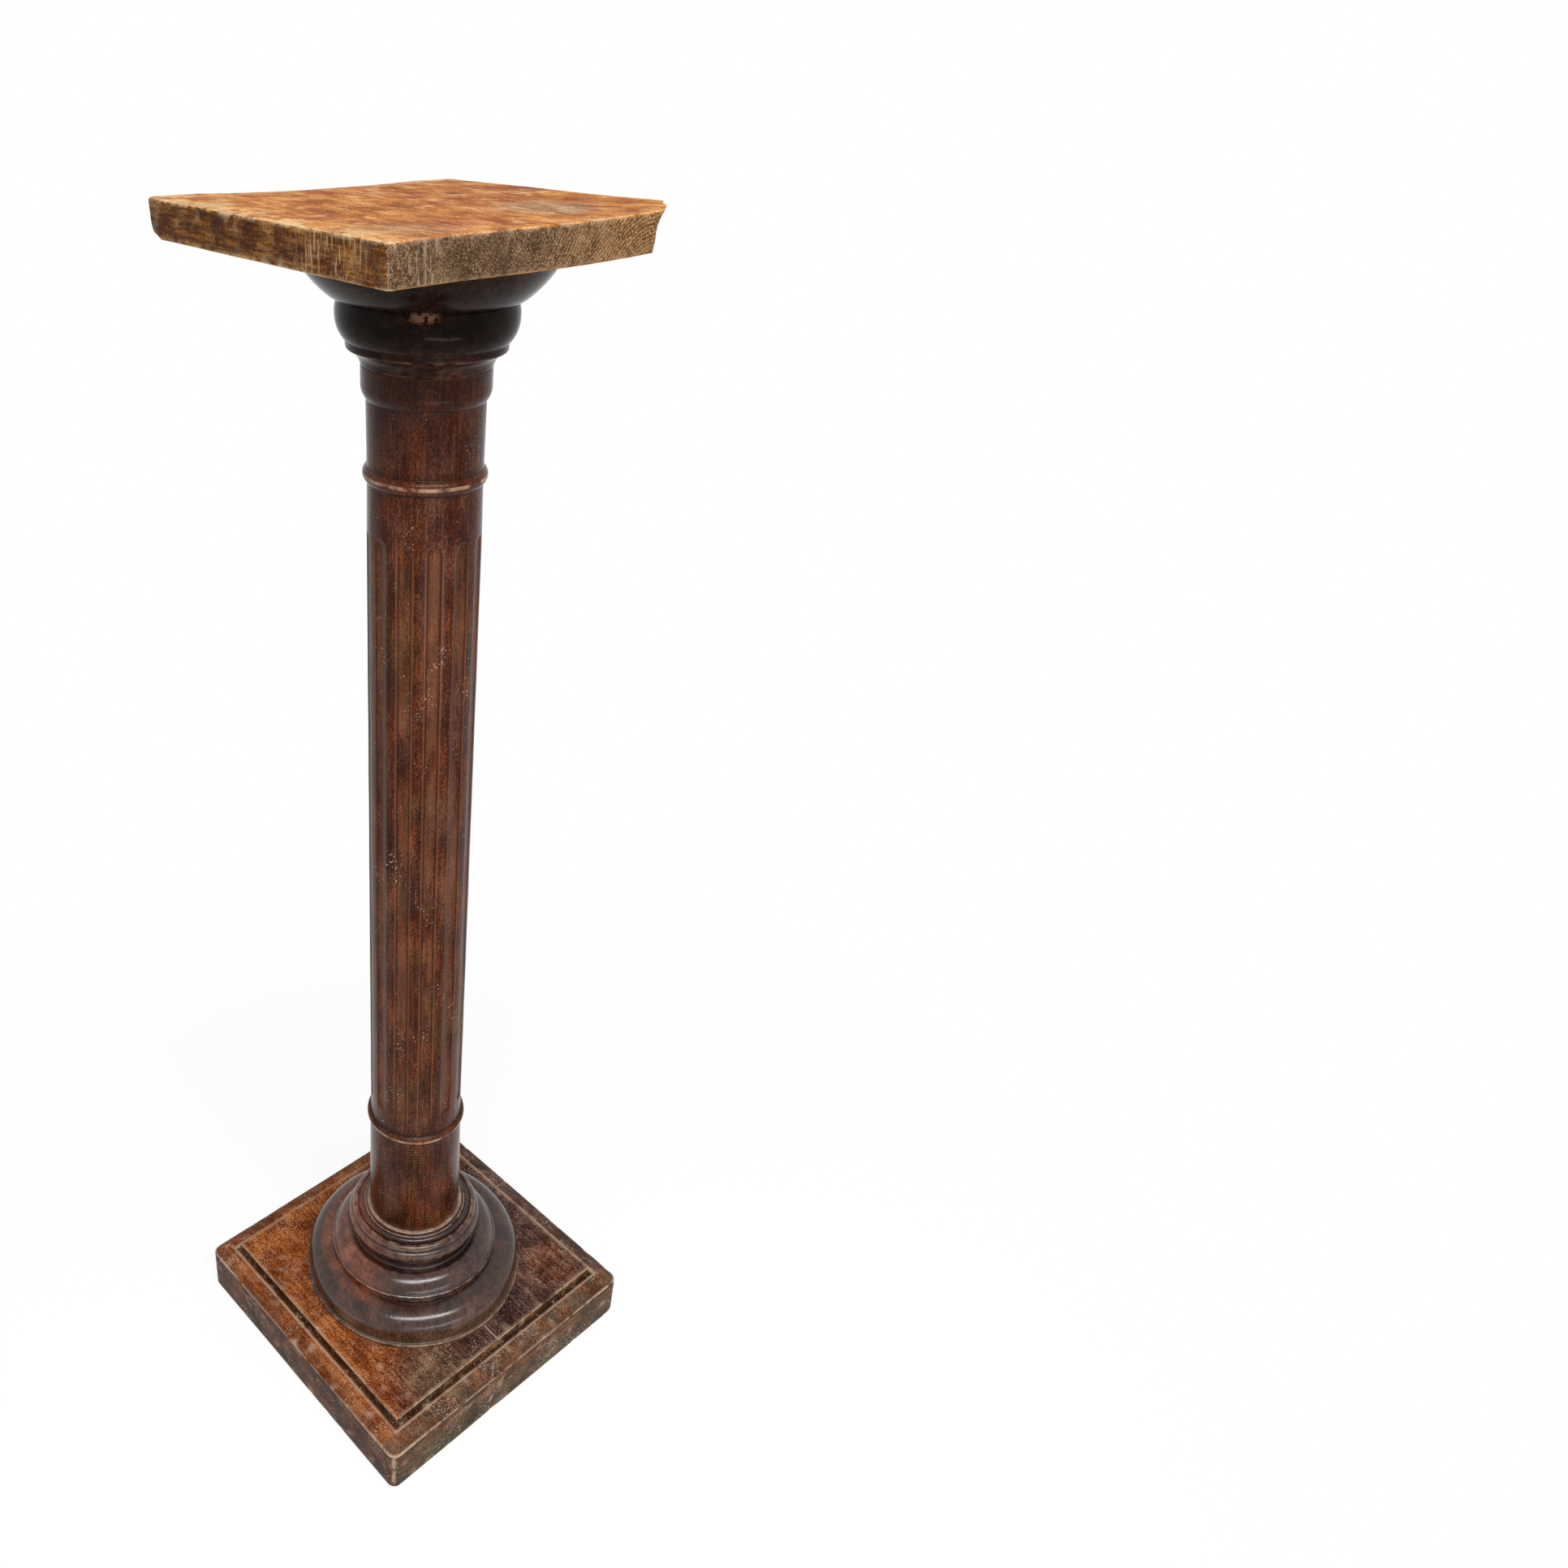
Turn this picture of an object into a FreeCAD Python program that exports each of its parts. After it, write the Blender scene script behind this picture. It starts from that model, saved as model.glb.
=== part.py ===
"""Turned wooden pedestal column stand with a square plinth and a square top board.

Millimetres, +Z up. The origin is the centre of the plinth's underside, and the sides of
the plinth lie along X and Y. The grain of the plinth and of the top board runs along Y.
From the floor up the column is a stack: plinth planks, base cushion, base collar, shaft,
capital ring, capital bowl and top board. A round tenon at each end of the shaft goes
through the turned pieces and is held by a wedge.
"""
import FreeCAD
import Part
import math
import operator
import os
import Sketcher
from types import SimpleNamespace

# Driving dimensions ---------------------------------------------------------------------

DIMENSIONS = {
    # plinth
    "plinth_side": 296.5,
    "plinth_height": 63.0,
    "plinth_lip_height": 50.0,
    "plinth_panel_side": 253.0,
    "plinth_band_height": 55.5,
    "plinth_band_bow": 1.9,
    "plinth_quirk_width": 4.0,
    "plinth_quirk_depth": 1.5,
    "plinth_corner_radius": 6.0,
    "plinth_bottom_radius": 5.0,
    # base cushion
    "cushion_height": 35.5,
    "cushion_foot_radius": 107.0,
    "cushion_foot_height": 4.0,
    "cushion_quirk_radius": 104.0,
    "cushion_quirk_height": 1.0,
    "cushion_radius": 105.5,
    "cushion_flank_bow": 0.4,
    "cushion_roll_radius": 20.0,
    # base collar
    "collar_height": 54.5,
    "collar_fillet_radius": 81.5,
    "collar_fillet_height": 5.5,
    "collar_ovolo_radius": 80.0,
    "collar_ovolo_step": 0.9,
    "collar_ovolo_bow": 2.4,
    "collar_waist_radius": 66.3,
    "collar_waist_height": 20.5,
    "collar_neck_radius": 60.5,
    "collar_neck_step": 0.4,
    "collar_neck_bow": 1.1,
    "collar_bead_drop": 23.0,
    "collar_bead_height": 12.0,
    "collar_bead_bow": 3.8,
    "collar_top_bead_radius": 56.4,
    "collar_top_bead_drop": 4.2,
    "collar_top_bead_bow": 2.1,
    "collar_hollow_bow": 2.1,
    "collar_rim_radius": 49.6,
    "collar_rim_drop": 3.6,
    "collar_seat_radius": 46.5,
    "collar_seat_height": 1.7,
    # shaft
    "shaft_length": 800.0,
    "shaft_foot_radius": 43.6,
    "shaft_low_radius": 42.3,
    "shaft_fluted_low_radius": 41.8,
    "shaft_fluted_top_radius": 41.1,
    "shaft_plain_radius": 40.6,
    "shaft_neck_radius": 44.5,
    "shaft_neck_height": 12.0,
    "shaft_neck_roll": 10.0,
    "shaft_neck_bow": 1.1,
    "low_bead_height": 119.5,
    "low_bead_half": 4.5,
    "low_bead_bow": 3.2,
    "top_bead_drop": 73.0,
    "top_bead_half": 5.5,
    "top_bead_bow": 3.2,
    "flute_count": 12,
    "flute_width": 12.0,
    "flute_depth": 1.8,
    "flute_low_gap": 30.0,
    "flute_top_gap": 46.0,
    # tenons and wedges
    "tenon_radius": 19.0,
    "tenon_low_inset": 4.0,
    "tenon_top_inset": 2.0,
    "wedge_length": 28.0,
    "wedge_thickness": 6.0,
    "wedge_tip_thickness": 1.4,
    "wedge_side_inset": 1.0,
    # capital
    "ring_height": 43.5,
    "ring_cove_height": 11.0,
    "ring_cove_radius": 54.2,
    "ring_cove_bow": 2.0,
    "ring_fillet_radius": 54.7,
    "ring_fillet_height": 5.5,
    "ring_ledge_radius": 55.9,
    "ring_ledge_height": 0.6,
    "ring_radius": 61.0,
    "ring_roll_height": 14.0,
    "ring_roll_bow": 1.2,
    "ring_top_radius": 59.0,
    "ring_top_bow": 0.8,
    "bowl_height": 29.5,
    "bowl_foot_radius": 64.5,
    "bowl_low_radius": 66.0,
    "bowl_low_height": 1.0,
    "bowl_top_radius": 88.5,
    "bowl_bow": 2.0,
    "bowl_rim_height": 1.2,
    # top board
    "board_length": 243.0,
    "board_width": 257.0,
    "board_thickness": 24.0,
    "board_shift_x": -1.5,
    "board_shift_y": 3.0,
    "board_edge_radius": 1.6,
    "chip_width": 44.0,
    "chip_length": 37.0,
    "chip_undercut": 12.0,
    # dowels
    "dowel_radius": 4.0,
    "dowel_bevel": 1.0,
    "dowel_depth": 15.0,
    "dowel_circle": 36.0,
    "seam_dowel_radius": 5.0,
    "seam_dowel_depth": 26.0,
    "seam_dowel_inner": 52.0,
    "seam_dowel_outer": 108.0,
    "seam_dowel_level": 26.0,
    # screws
    "base_screw_radius": 2.75,
    "base_screw_bite": 22.0,
    "base_screw_circle": 64.0,
    "top_screw_radius": 2.25,
    "top_screw_bite": 13.5,
    "top_screw_circle": 48.0,
    "screw_inset": 1.0,
    "screw_point_length": 6.0,
    # clearances
    "bore_clearance": 0.15,
    "wedge_clearance": 0.15,
    "dowel_end_clearance": 0.5,
    "pilot_end_clearance": 1.0,
}

# A countersunk screw's proportions, as shares of its shank radius.
SCREW_HEAD_RATIO = 1.9
SLOT_DEPTH_RATIO = 0.45
SLOT_WIDTH_RATIO = 0.4
# Where the broken corner's edge turns, as shares of the chip's width and length.
CHIP_TURNS = ((0.0, 1.0), (0.30, 0.78), (0.52, 0.44), (0.83, 0.20), (1.0, 0.0))
DIAGONAL = math.cos(math.radians(45.0))
# How far a quarter circle bows out from its chord, as a share of its radius.
QUARTER_BOW = 1.0 - DIAGONAL
# How far a cut starts outside the solid, and how long a sketch's axis line is drawn.
OVERCUT = 5.0
AXIS_LENGTH = 100.0
# The least volume in mm3 that a cut takes, and the distance in mm that counts as none.
LEAST_CUT = 0.1
TINY = 0.001

doc = FreeCAD.newDocument("pedestal_column_stand")
sheet = doc.addObject("Spreadsheet::Sheet", "Sizes")


class Size:
    """A number that remembers the sheet expression it is worked out from."""

    def __init__(self, value, text):
        self.value = value
        self.text = text

    def __add__(self, other):
        return combined(self, "+", other)

    def __radd__(self, other):
        return combined(other, "+", self)

    def __sub__(self, other):
        return combined(self, "-", other)

    def __rsub__(self, other):
        return combined(other, "-", self)

    def __mul__(self, other):
        return combined(self, "*", other)

    def __rmul__(self, other):
        return combined(other, "*", self)

    def __truediv__(self, other):
        return combined(self, "/", other)

    def __neg__(self):
        return combined(0.0, "-", self)


def as_size(number):
    if isinstance(number, Size):
        return number
    return Size(float(number), "%.9g" % number)


OPERATIONS = {
    "+": operator.add,
    "-": operator.sub,
    "*": operator.mul,
    "/": operator.truediv,
}


def combined(left, sign, right):
    left = as_size(left)
    right = as_size(right)
    value = OPERATIONS[sign](left.value, right.value)
    return Size(value, "(%s %s %s)" % (left.text, sign, right.text))


def root(square):
    return Size(math.sqrt(square.value), "sqrt(%s)" % square.text)


def fill_sheet():
    """Writes the driving dimensions to the sheet and returns them as sizes."""
    sizes = {}
    for row, (name, value) in enumerate(DIMENSIONS.items(), start=1):
        sheet.set("A%d" % row, name)
        sheet.set("B%d" % row, str(value))
        sheet.setAlias("B%d" % row, name)
        sizes[name] = Size(float(value), "Sizes." + name)
    doc.recompute()
    return SimpleNamespace(**sizes)


size = fill_sheet()

# Heights where one piece seats on the next ----------------------------------------------

CUSHION_SEAT = size.plinth_height
COLLAR_SEAT = CUSHION_SEAT + size.cushion_height
SHAFT_SEAT = COLLAR_SEAT + size.collar_height
RING_SEAT = SHAFT_SEAT + size.shaft_length
BOWL_SEAT = RING_SEAT + size.ring_height
BOARD_SEAT = BOWL_SEAT + size.bowl_height
BORE_RADIUS = size.tenon_radius + size.bore_clearance

# Sketches and features ------------------------------------------------------------------


def origin_item(body, role):
    return [item for item in body.Origin.OriginFeatures if item.Role == role][0]


def new_body(label):
    body = doc.addObject("PartDesign::Body", label)
    body.Label = label
    return body


def new_sketch(body, role, offset=0.0, turn=0.0):
    """A sketch on one of the body's own planes, moved along its normal and turned upright."""
    sketch = body.newObject("Sketcher::SketchObject", body.Label + "_sketch")
    sketch.AttachmentSupport = [(origin_item(body, role), "")]
    sketch.MapMode = "FlatFace"
    spin = FreeCAD.Rotation(FreeCAD.Vector(0, 1, 0), turn)
    sketch.AttachmentOffset = FreeCAD.Placement(FreeCAD.Vector(), spin)
    sketch.setExpression("AttachmentOffset.Base.z", as_size(offset).text)
    return sketch


def hold(sketch, edge, end, across, up):
    """Ties one point of a sketch edge to its two distances from the sketch's origin."""
    for kind, place in (("DistanceX", across), ("DistanceY", up)):
        place = as_size(place)
        rule = Sketcher.Constraint(kind, -1, 1, edge, end, place.value)
        number = sketch.addConstraint(rule)
        sketch.setExpression("Constraints[%d]" % number, place.text)


def flat(point):
    return FreeCAD.Vector(as_size(point[0]).value, as_size(point[1]).value, 0)


def bowed_middle(start, stop, bow):
    """The middle of an arc from start to stop that bows out to the right of that way."""
    across = as_size(stop[0]) - start[0]
    up = as_size(stop[1]) - start[1]
    share = bow / root(across * across + up * up)
    return (start[0] + across / 2 + up * share, start[1] + up / 2 - across * share)


def starts_at(sketch, edge, point):
    """Whether the sketch keeps the edge's first end at this point, since it may turn an arc."""
    return sketch.getPoint(edge, 1).distanceToPoint(point) < TINY


def draw_outline(sketch, points):
    """Closes a loop of lines and arcs. An entry is (across, up) for a line, or
    (across, up, bow) for an arc from the entry before that bows out to its right."""
    edges = []
    for before, entry in zip(points[-1:] + points[:-1], points):
        start = flat(before)
        stop = flat(entry)
        if len(entry) == 3:
            middle = bowed_middle(before, entry, entry[2])
            edge = sketch.addGeometry(Part.Arc(start, flat(middle), stop), False)
        else:
            middle = None
            edge = sketch.addGeometry(Part.LineSegment(start, stop), False)
        ends = (1, 2) if starts_at(sketch, edge, start) else (2, 1)
        edges.append((edge, ends, middle))
    for before, (edge, ends, _) in zip(edges[-1:] + edges[:-1], edges):
        joint = Sketcher.Constraint("Coincident", before[0], before[1][1], edge, ends[0])
        sketch.addConstraint(joint)
    for (edge, ends, middle), entry in zip(edges, points):
        hold(sketch, edge, ends[1], entry[0], entry[1])
        if middle:
            mark = sketch.addGeometry(Part.Point(flat(middle)), True)
            hold(sketch, mark, 1, middle[0], middle[1])
            sketch.addConstraint(Sketcher.Constraint("PointOnObject", mark, 1, edge))


def draw_circle(sketch, across, up, radius):
    radius = as_size(radius)
    circle = Part.Circle(flat((across, up)), FreeCAD.Vector(0, 0, 1), radius.value)
    edge = sketch.addGeometry(circle, False)
    hold(sketch, edge, 3, across, up)
    number = sketch.addConstraint(Sketcher.Constraint("Radius", edge, radius.value))
    sketch.setExpression("Constraints[%d]" % number, radius.text)


def draw_axis(sketch, across):
    """An upright construction line, which a Revolution or Groove takes as its Axis0."""
    line = Part.LineSegment(flat((across, 0.0)), flat((across, AXIS_LENGTH)))
    edge = sketch.addGeometry(line, True)
    hold(sketch, edge, 1, across, 0.0)
    hold(sketch, edge, 2, across, AXIS_LENGTH)


def feature(body, kind, sketch, **settings):
    item = body.newObject("PartDesign::" + kind, body.Label + "_" + kind.lower())
    item.Profile = sketch
    for name, value in settings.items():
        if isinstance(value, Size):
            item.setExpression(name, value.text)
        else:
            setattr(item, name, value)
    sketch.Visibility = False
    doc.recompute()
    return item


def cut(body, kind, sketch, **settings):
    """A subtractive feature, which has to take some material away."""
    before = body.Shape.Volume
    item = feature(body, kind, sketch, **settings)
    if body.Shape.Volume >= before - LEAST_CUT:
        raise RuntimeError("%s: the %s cuts nothing" % (body.Label, kind))
    return item


def polar_pattern(body, originals, count):
    pattern = body.newObject("PartDesign::PolarPattern", body.Label + "_pattern")
    pattern.Originals = originals
    pattern.Axis = (origin_item(body, "Z_Axis"), [""])
    pattern.Angle = 360
    pattern.setExpression("Occurrences", as_size(count).text)
    body.Tip = pattern
    doc.recompute()
    return pattern


def round_edges(body, base, chosen, radius):
    """Fillets the edges of `base` for which chosen(edge) is true."""
    names = ["Edge%d" % (i + 1) for i, edge in enumerate(base.Shape.Edges) if chosen(edge)]
    fillet = body.newObject("PartDesign::Fillet", body.Label + "_fillet")
    fillet.Base = (base, names)
    fillet.setExpression("Radius", radius.text)
    body.Tip = fillet
    doc.recompute()
    return fillet


def turned(label, points):
    """A body of revolution about Z from an outline of (radius, height) points."""
    body = new_body(label)
    sketch = new_sketch(body, "XZ_Plane")
    draw_outline(sketch, points)
    feature(body, "Revolution", sketch, ReferenceAxis=(sketch, ["V_Axis"]), Angle=360.0)
    return body


def drill(body, places, radius, level, depth, upward):
    """Round holes at (x, y) places, from a level into the solid."""
    sketch = new_sketch(body, "XY_Plane", level)
    for x, y in places:
        draw_circle(sketch, x, y, radius)
    cut(body, "Pocket", sketch, Length=depth, Reversed=upward)


def ring_of_places(circle, count, first_angle):
    places = []
    for step in range(count):
        angle = math.radians(first_angle + 360.0 * step / count)
        places.append((circle * round(math.cos(angle), 9), circle * round(math.sin(angle), 9)))
    return places


# Plinth ---------------------------------------------------------------------------------

DOWEL_COUNT = 4
SCREW_COUNT = 4
SCREW_ANGLE = 45.0


def band_cut(sign):
    """The section that is taken off beside the plinth's raised panel, on one side."""
    half = size.plinth_side / 2
    panel = size.plinth_panel_side / 2
    quirk = panel + size.plinth_quirk_width
    quirk_floor = size.plinth_band_height - size.plinth_quirk_depth
    above = size.plinth_height + OVERCUT
    return [
        (sign * panel, above),
        (sign * panel, quirk_floor),
        (sign * quirk, quirk_floor),
        (sign * quirk, size.plinth_band_height),
        (sign * half, size.plinth_lip_height, -sign * size.plinth_band_bow),
        (sign * (half + OVERCUT), size.plinth_lip_height),
        (sign * (half + OVERCUT), above),
    ]


def plinth_plank(label, sign):
    """One of the two planks, which meet in a glued seam at X = 0."""
    body = new_body(label)
    half = size.plinth_side / 2
    corner = half - size.plinth_corner_radius
    corner_bow = sign * size.plinth_corner_radius * QUARTER_BOW
    plan = new_sketch(body, "XY_Plane")
    draw_outline(plan, [
        (0.0, -half),
        (sign * corner, -half),
        (sign * half, -corner, corner_bow),
        (sign * half, corner),
        (sign * corner, half, corner_bow),
        (0.0, half),
    ])
    block = feature(body, "Pad", plan, Length=size.plinth_height)
    round_edges(body, block, is_outer_bottom_edge, size.plinth_bottom_radius)
    side_cut = new_sketch(body, "XZ_Plane")
    draw_outline(side_cut, band_cut(sign))
    cut(body, "Pocket", side_cut, Type="ThroughAll", Midplane=True)
    end_cut = new_sketch(body, "YZ_Plane")
    draw_outline(end_cut, band_cut(1))
    draw_outline(end_cut, band_cut(-1))
    cut(body, "Pocket", end_cut, Type="ThroughAll", Midplane=True)
    mortise = new_sketch(body, "XY_Plane")
    draw_circle(mortise, 0.0, 0.0, BORE_RADIUS)
    cut(body, "Pocket", mortise, Type="ThroughAll", Midplane=True)
    seam_holes = new_sketch(body, "YZ_Plane")
    seam_hole_radius = size.seam_dowel_radius + size.bore_clearance
    for place in seam_dowel_places():
        draw_circle(seam_holes, place, size.seam_dowel_level, seam_hole_radius)
    hole_depth = size.seam_dowel_depth + size.dowel_end_clearance
    cut(body, "Pocket", seam_holes, Length=hole_depth, Reversed=sign > 0)
    spot = size.base_screw_circle * DIAGONAL
    for end in (1, -1):
        screw_bore(body, sign * spot, end * spot, size.base_screw_radius, 0.0, size.plinth_height)
    return body


def is_outer_bottom_edge(edge):
    """Whether the edge lies on the floor and isn't the one along the seam."""
    box = edge.BoundBox
    return box.ZMax < TINY and max(abs(box.XMin), abs(box.XMax)) > TINY


def seam_dowel_places():
    inner = size.seam_dowel_inner
    outer = size.seam_dowel_outer
    return (-outer, -inner, inner, outer)


def screw_bore(body, x, y, radius, level, height):
    """A clearance hole up from a level, with a countersink for the screw's head."""
    bore = radius + size.bore_clearance
    head = radius * SCREW_HEAD_RATIO + size.bore_clearance
    shoulder = level + size.screw_inset
    sketch = new_sketch(body, "XZ_Plane", -y)
    draw_axis(sketch, x)
    draw_outline(sketch, [
        (x, level),
        (x + head, level),
        (x + head, shoulder),
        (x + bore, shoulder + head - bore),
        (x + bore, level + height),
        (x, level + height),
    ])
    cut(body, "Groove", sketch, ReferenceAxis=(sketch, ["Axis0"]), Angle=360.0)


def seam_dowels():
    body = new_body("plinth_seam_dowels")
    sketch = new_sketch(body, "YZ_Plane")
    for place in seam_dowel_places():
        draw_circle(sketch, place, size.seam_dowel_level, size.seam_dowel_radius)
    feature(body, "Pad", sketch, Length=size.seam_dowel_depth * 2, Midplane=True)
    return body


# Turned base ----------------------------------------------------------------------------


def base_cushion():
    """The broad lower roll with its thin foot fillet."""
    low = CUSHION_SEAT
    foot = low + size.cushion_foot_height
    roll = size.cushion_roll_radius
    body = turned("base_cushion", [
        (BORE_RADIUS, low),
        (size.cushion_foot_radius, low),
        (size.cushion_foot_radius, foot),
        (size.cushion_quirk_radius, foot + size.cushion_quirk_height),
        (size.cushion_radius, COLLAR_SEAT - roll, size.cushion_flank_bow),
        (size.cushion_radius - roll, COLLAR_SEAT, roll * QUARTER_BOW),
        (BORE_RADIUS, COLLAR_SEAT),
    ])
    drill_pilots(body, size.base_screw_circle, size.base_screw_radius, low, size.base_screw_bite)
    drill_dowel_holes(body, COLLAR_SEAT, False)
    return body


def drill_pilots(body, circle, radius, level, bite):
    """The blind holes that the screws' points go up into."""
    places = ring_of_places(circle, SCREW_COUNT, SCREW_ANGLE)
    depth = bite + size.pilot_end_clearance
    drill(body, places, radius + size.bore_clearance, level, depth, True)


def drill_dowel_holes(body, level, upward):
    places = ring_of_places(size.dowel_circle, DOWEL_COUNT, 0.0)
    radius = size.dowel_radius + size.bore_clearance
    drill(body, places, radius, level, size.dowel_depth + size.dowel_end_clearance, upward)


def base_collar():
    """The upper turning: fillet, ovolo, neck, two beads and the seat of the shaft."""
    low = COLLAR_SEAT
    top = SHAFT_SEAT
    fillet = low + size.collar_fillet_height
    waist = low + size.collar_waist_height
    bead = top - size.collar_bead_drop
    seat = top - size.collar_seat_height
    return turned_with_dowel_holes("base_collar", [
        (BORE_RADIUS, low),
        (size.collar_fillet_radius, low),
        (size.collar_fillet_radius, fillet),
        (size.collar_ovolo_radius, fillet + size.collar_ovolo_step),
        (size.collar_waist_radius, waist, size.collar_ovolo_bow),
        (size.collar_neck_radius, waist + size.collar_neck_step),
        (size.collar_neck_radius, bead, -size.collar_neck_bow),
        (size.collar_neck_radius, bead + size.collar_bead_height, size.collar_bead_bow),
        (size.collar_top_bead_radius, top - size.collar_top_bead_drop, size.collar_top_bead_bow),
        (size.collar_rim_radius, top - size.collar_rim_drop, -size.collar_hollow_bow),
        (size.collar_rim_radius, seat),
        (size.collar_seat_radius, seat),
        (size.collar_seat_radius, top),
        (BORE_RADIUS, top),
    ], low, True)


def turned_with_dowel_holes(label, points, level, upward):
    body = turned(label, points)
    drill_dowel_holes(body, level, upward)
    return body


# Shaft ----------------------------------------------------------------------------------


def shaft():
    """One long turning: lower tenon, plain foot, bead, fluted drum, bead, neck and tenon."""
    low_bead = SHAFT_SEAT + size.low_bead_height
    top_bead = RING_SEAT - size.top_bead_drop
    flutes_low = low_bead + size.flute_low_gap
    flutes_top = top_bead - size.flute_top_gap
    neck = RING_SEAT - size.shaft_neck_height
    tenon_low = size.tenon_low_inset
    tenon_top = BOARD_SEAT - size.tenon_top_inset
    body = turned("shaft", [
        (0.0, tenon_low),
        (size.tenon_radius, tenon_low),
        (size.tenon_radius, SHAFT_SEAT),
        (size.shaft_foot_radius, SHAFT_SEAT),
        (size.shaft_low_radius, low_bead - size.low_bead_half),
        (size.shaft_fluted_low_radius, low_bead + size.low_bead_half, size.low_bead_bow),
        (size.shaft_fluted_top_radius, flutes_top),
        (size.shaft_plain_radius, top_bead - size.top_bead_half),
        (size.shaft_plain_radius, top_bead + size.top_bead_half, size.top_bead_bow),
        (size.shaft_fluted_top_radius, neck - size.shaft_neck_roll),
        (size.shaft_neck_radius, neck, size.shaft_neck_bow),
        (size.shaft_neck_radius, RING_SEAT),
        (size.tenon_radius, RING_SEAT),
        (size.tenon_radius, tenon_top),
        (0.0, tenon_top),
    ])
    cut_flutes(body, flutes_low, flutes_top)
    for kerf in (low_kerf(0.0), top_kerf(0.0)):
        sketch = new_sketch(body, "XZ_Plane")
        draw_outline(sketch, kerf)
        cut(body, "Pocket", sketch, Type="ThroughAll", Midplane=True)
    return body


def cut_flutes(body, low, top):
    """Shallow round-bottomed flutes with rounded ends, each a pass of a round cutter."""
    half_width = size.flute_width / 2
    depth = size.flute_depth
    cutter = (half_width * half_width + depth * depth) / (depth * 2)
    surface = (size.shaft_fluted_low_radius + size.shaft_fluted_top_radius) / 2
    centre = surface - depth + cutter
    end_bow = cutter * QUARTER_BOW
    sketch = new_sketch(body, "XZ_Plane")
    draw_axis(sketch, centre)
    draw_outline(sketch, [
        (centre, top),
        (centre - cutter, top - cutter, -end_bow),
        (centre - cutter, low + cutter),
        (centre, low, -end_bow),
    ])
    flute = cut(body, "Groove", sketch, ReferenceAxis=(sketch, ["Axis0"]), Angle=360.0)
    polar_pattern(body, [flute], size.flute_count)


def kerf_outline(mouth, direction, clearance):
    """The tapered slot of a wedge, from the tenon's end inwards, less a clearance."""
    wide = size.wedge_thickness / 2 - clearance
    narrow = size.wedge_tip_thickness / 2 - clearance
    tip = mouth + direction * size.wedge_length
    return [(-wide, mouth), (wide, mouth), (narrow, tip), (-narrow, tip)]


def low_kerf(clearance):
    return kerf_outline(size.tenon_low_inset, 1, clearance)


def top_kerf(clearance):
    return kerf_outline(BOARD_SEAT - size.tenon_top_inset, -1, clearance)


def wedge(label, outline):
    body = new_body(label)
    sketch = new_sketch(body, "XZ_Plane")
    draw_outline(sketch, outline)
    width = (size.tenon_radius - size.wedge_side_inset) * 2
    feature(body, "Pad", sketch, Length=width, Midplane=True)
    return body


# Capital --------------------------------------------------------------------------------


def capital_ring():
    """Cove, small fillet and the fat roll under the bowl."""
    low = RING_SEAT
    top = BOWL_SEAT
    cove = low + size.ring_cove_height
    fillet = cove + size.ring_fillet_height
    return turned_with_dowel_holes("capital_ring", [
        (BORE_RADIUS, low),
        (size.shaft_neck_radius, low),
        (size.ring_cove_radius, cove, -size.ring_cove_bow),
        (size.ring_fillet_radius, fillet),
        (size.ring_ledge_radius, fillet + size.ring_ledge_height),
        (size.ring_radius, fillet + size.ring_roll_height, size.ring_roll_bow),
        (size.ring_top_radius, top, size.ring_top_bow),
        (BORE_RADIUS, top),
    ], top, False)


def capital_bowl():
    """The flared disc that carries the top board."""
    low = BOWL_SEAT
    top = BOARD_SEAT
    body = turned_with_dowel_holes("capital_bowl", [
        (BORE_RADIUS, low),
        (size.bowl_foot_radius, low),
        (size.bowl_low_radius, low + size.bowl_low_height),
        (size.bowl_top_radius, top - size.bowl_rim_height, size.bowl_bow),
        (size.bowl_top_radius, top),
        (BORE_RADIUS, top),
    ], low, True)
    for x, y in ring_of_places(size.top_screw_circle, SCREW_COUNT, SCREW_ANGLE):
        screw_bore(body, x, y, size.top_screw_radius, low, size.bowl_height)
    return body


# Top board ------------------------------------------------------------------------------


def top_board():
    """A square board with eased edges, whose corner at +X -Y has broken away."""
    body = new_body("top_board")
    left = size.board_shift_x - size.board_width / 2
    right = size.board_shift_x + size.board_width / 2
    near = size.board_shift_y - size.board_length / 2
    far = size.board_shift_y + size.board_length / 2
    plan = new_sketch(body, "XY_Plane", BOARD_SEAT)
    draw_outline(plan, [(left, near), (right, near), (right, far), (left, far)])
    slab = feature(body, "Pad", plan, Length=size.board_thickness)
    round_edges(body, slab, lambda edge: True, size.board_edge_radius)
    break_corner(body, right, near)
    drill_pilots(body, size.top_screw_circle, size.top_screw_radius, BOARD_SEAT, size.top_screw_bite)
    return body


def break_corner(body, right, near):
    """The ragged broken corner, in flat facets that lean back towards the underside."""
    growth = size.chip_undercut / size.chip_length / size.board_thickness
    under = new_sketch(body, "XY_Plane", BOARD_SEAT - OVERCUT)
    draw_outline(under, ragged_corner(right, near, growth * (size.board_thickness + OVERCUT) + 1.0))
    over = new_sketch(body, "XY_Plane", BOARD_SEAT + size.board_thickness + OVERCUT)
    draw_outline(over, ragged_corner(right, near, 1.0 - growth * OVERCUT))
    cut(body, "SubtractiveLoft", under, Sections=[over], Ruled=True)


def ragged_corner(right, near, spread):
    """The chip's outline at one level, grown by a factor from the board's corner."""
    width = size.chip_width * spread
    length = size.chip_length * spread
    turns = [(right - width * share, near + length * rise) for share, rise in CHIP_TURNS]
    beside = (right + OVERCUT, near + length)
    before = (right - width, near - OVERCUT)
    return [(right + OVERCUT, near - OVERCUT), beside] + turns + [before]


# Dowels and screws ----------------------------------------------------------------------


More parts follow.
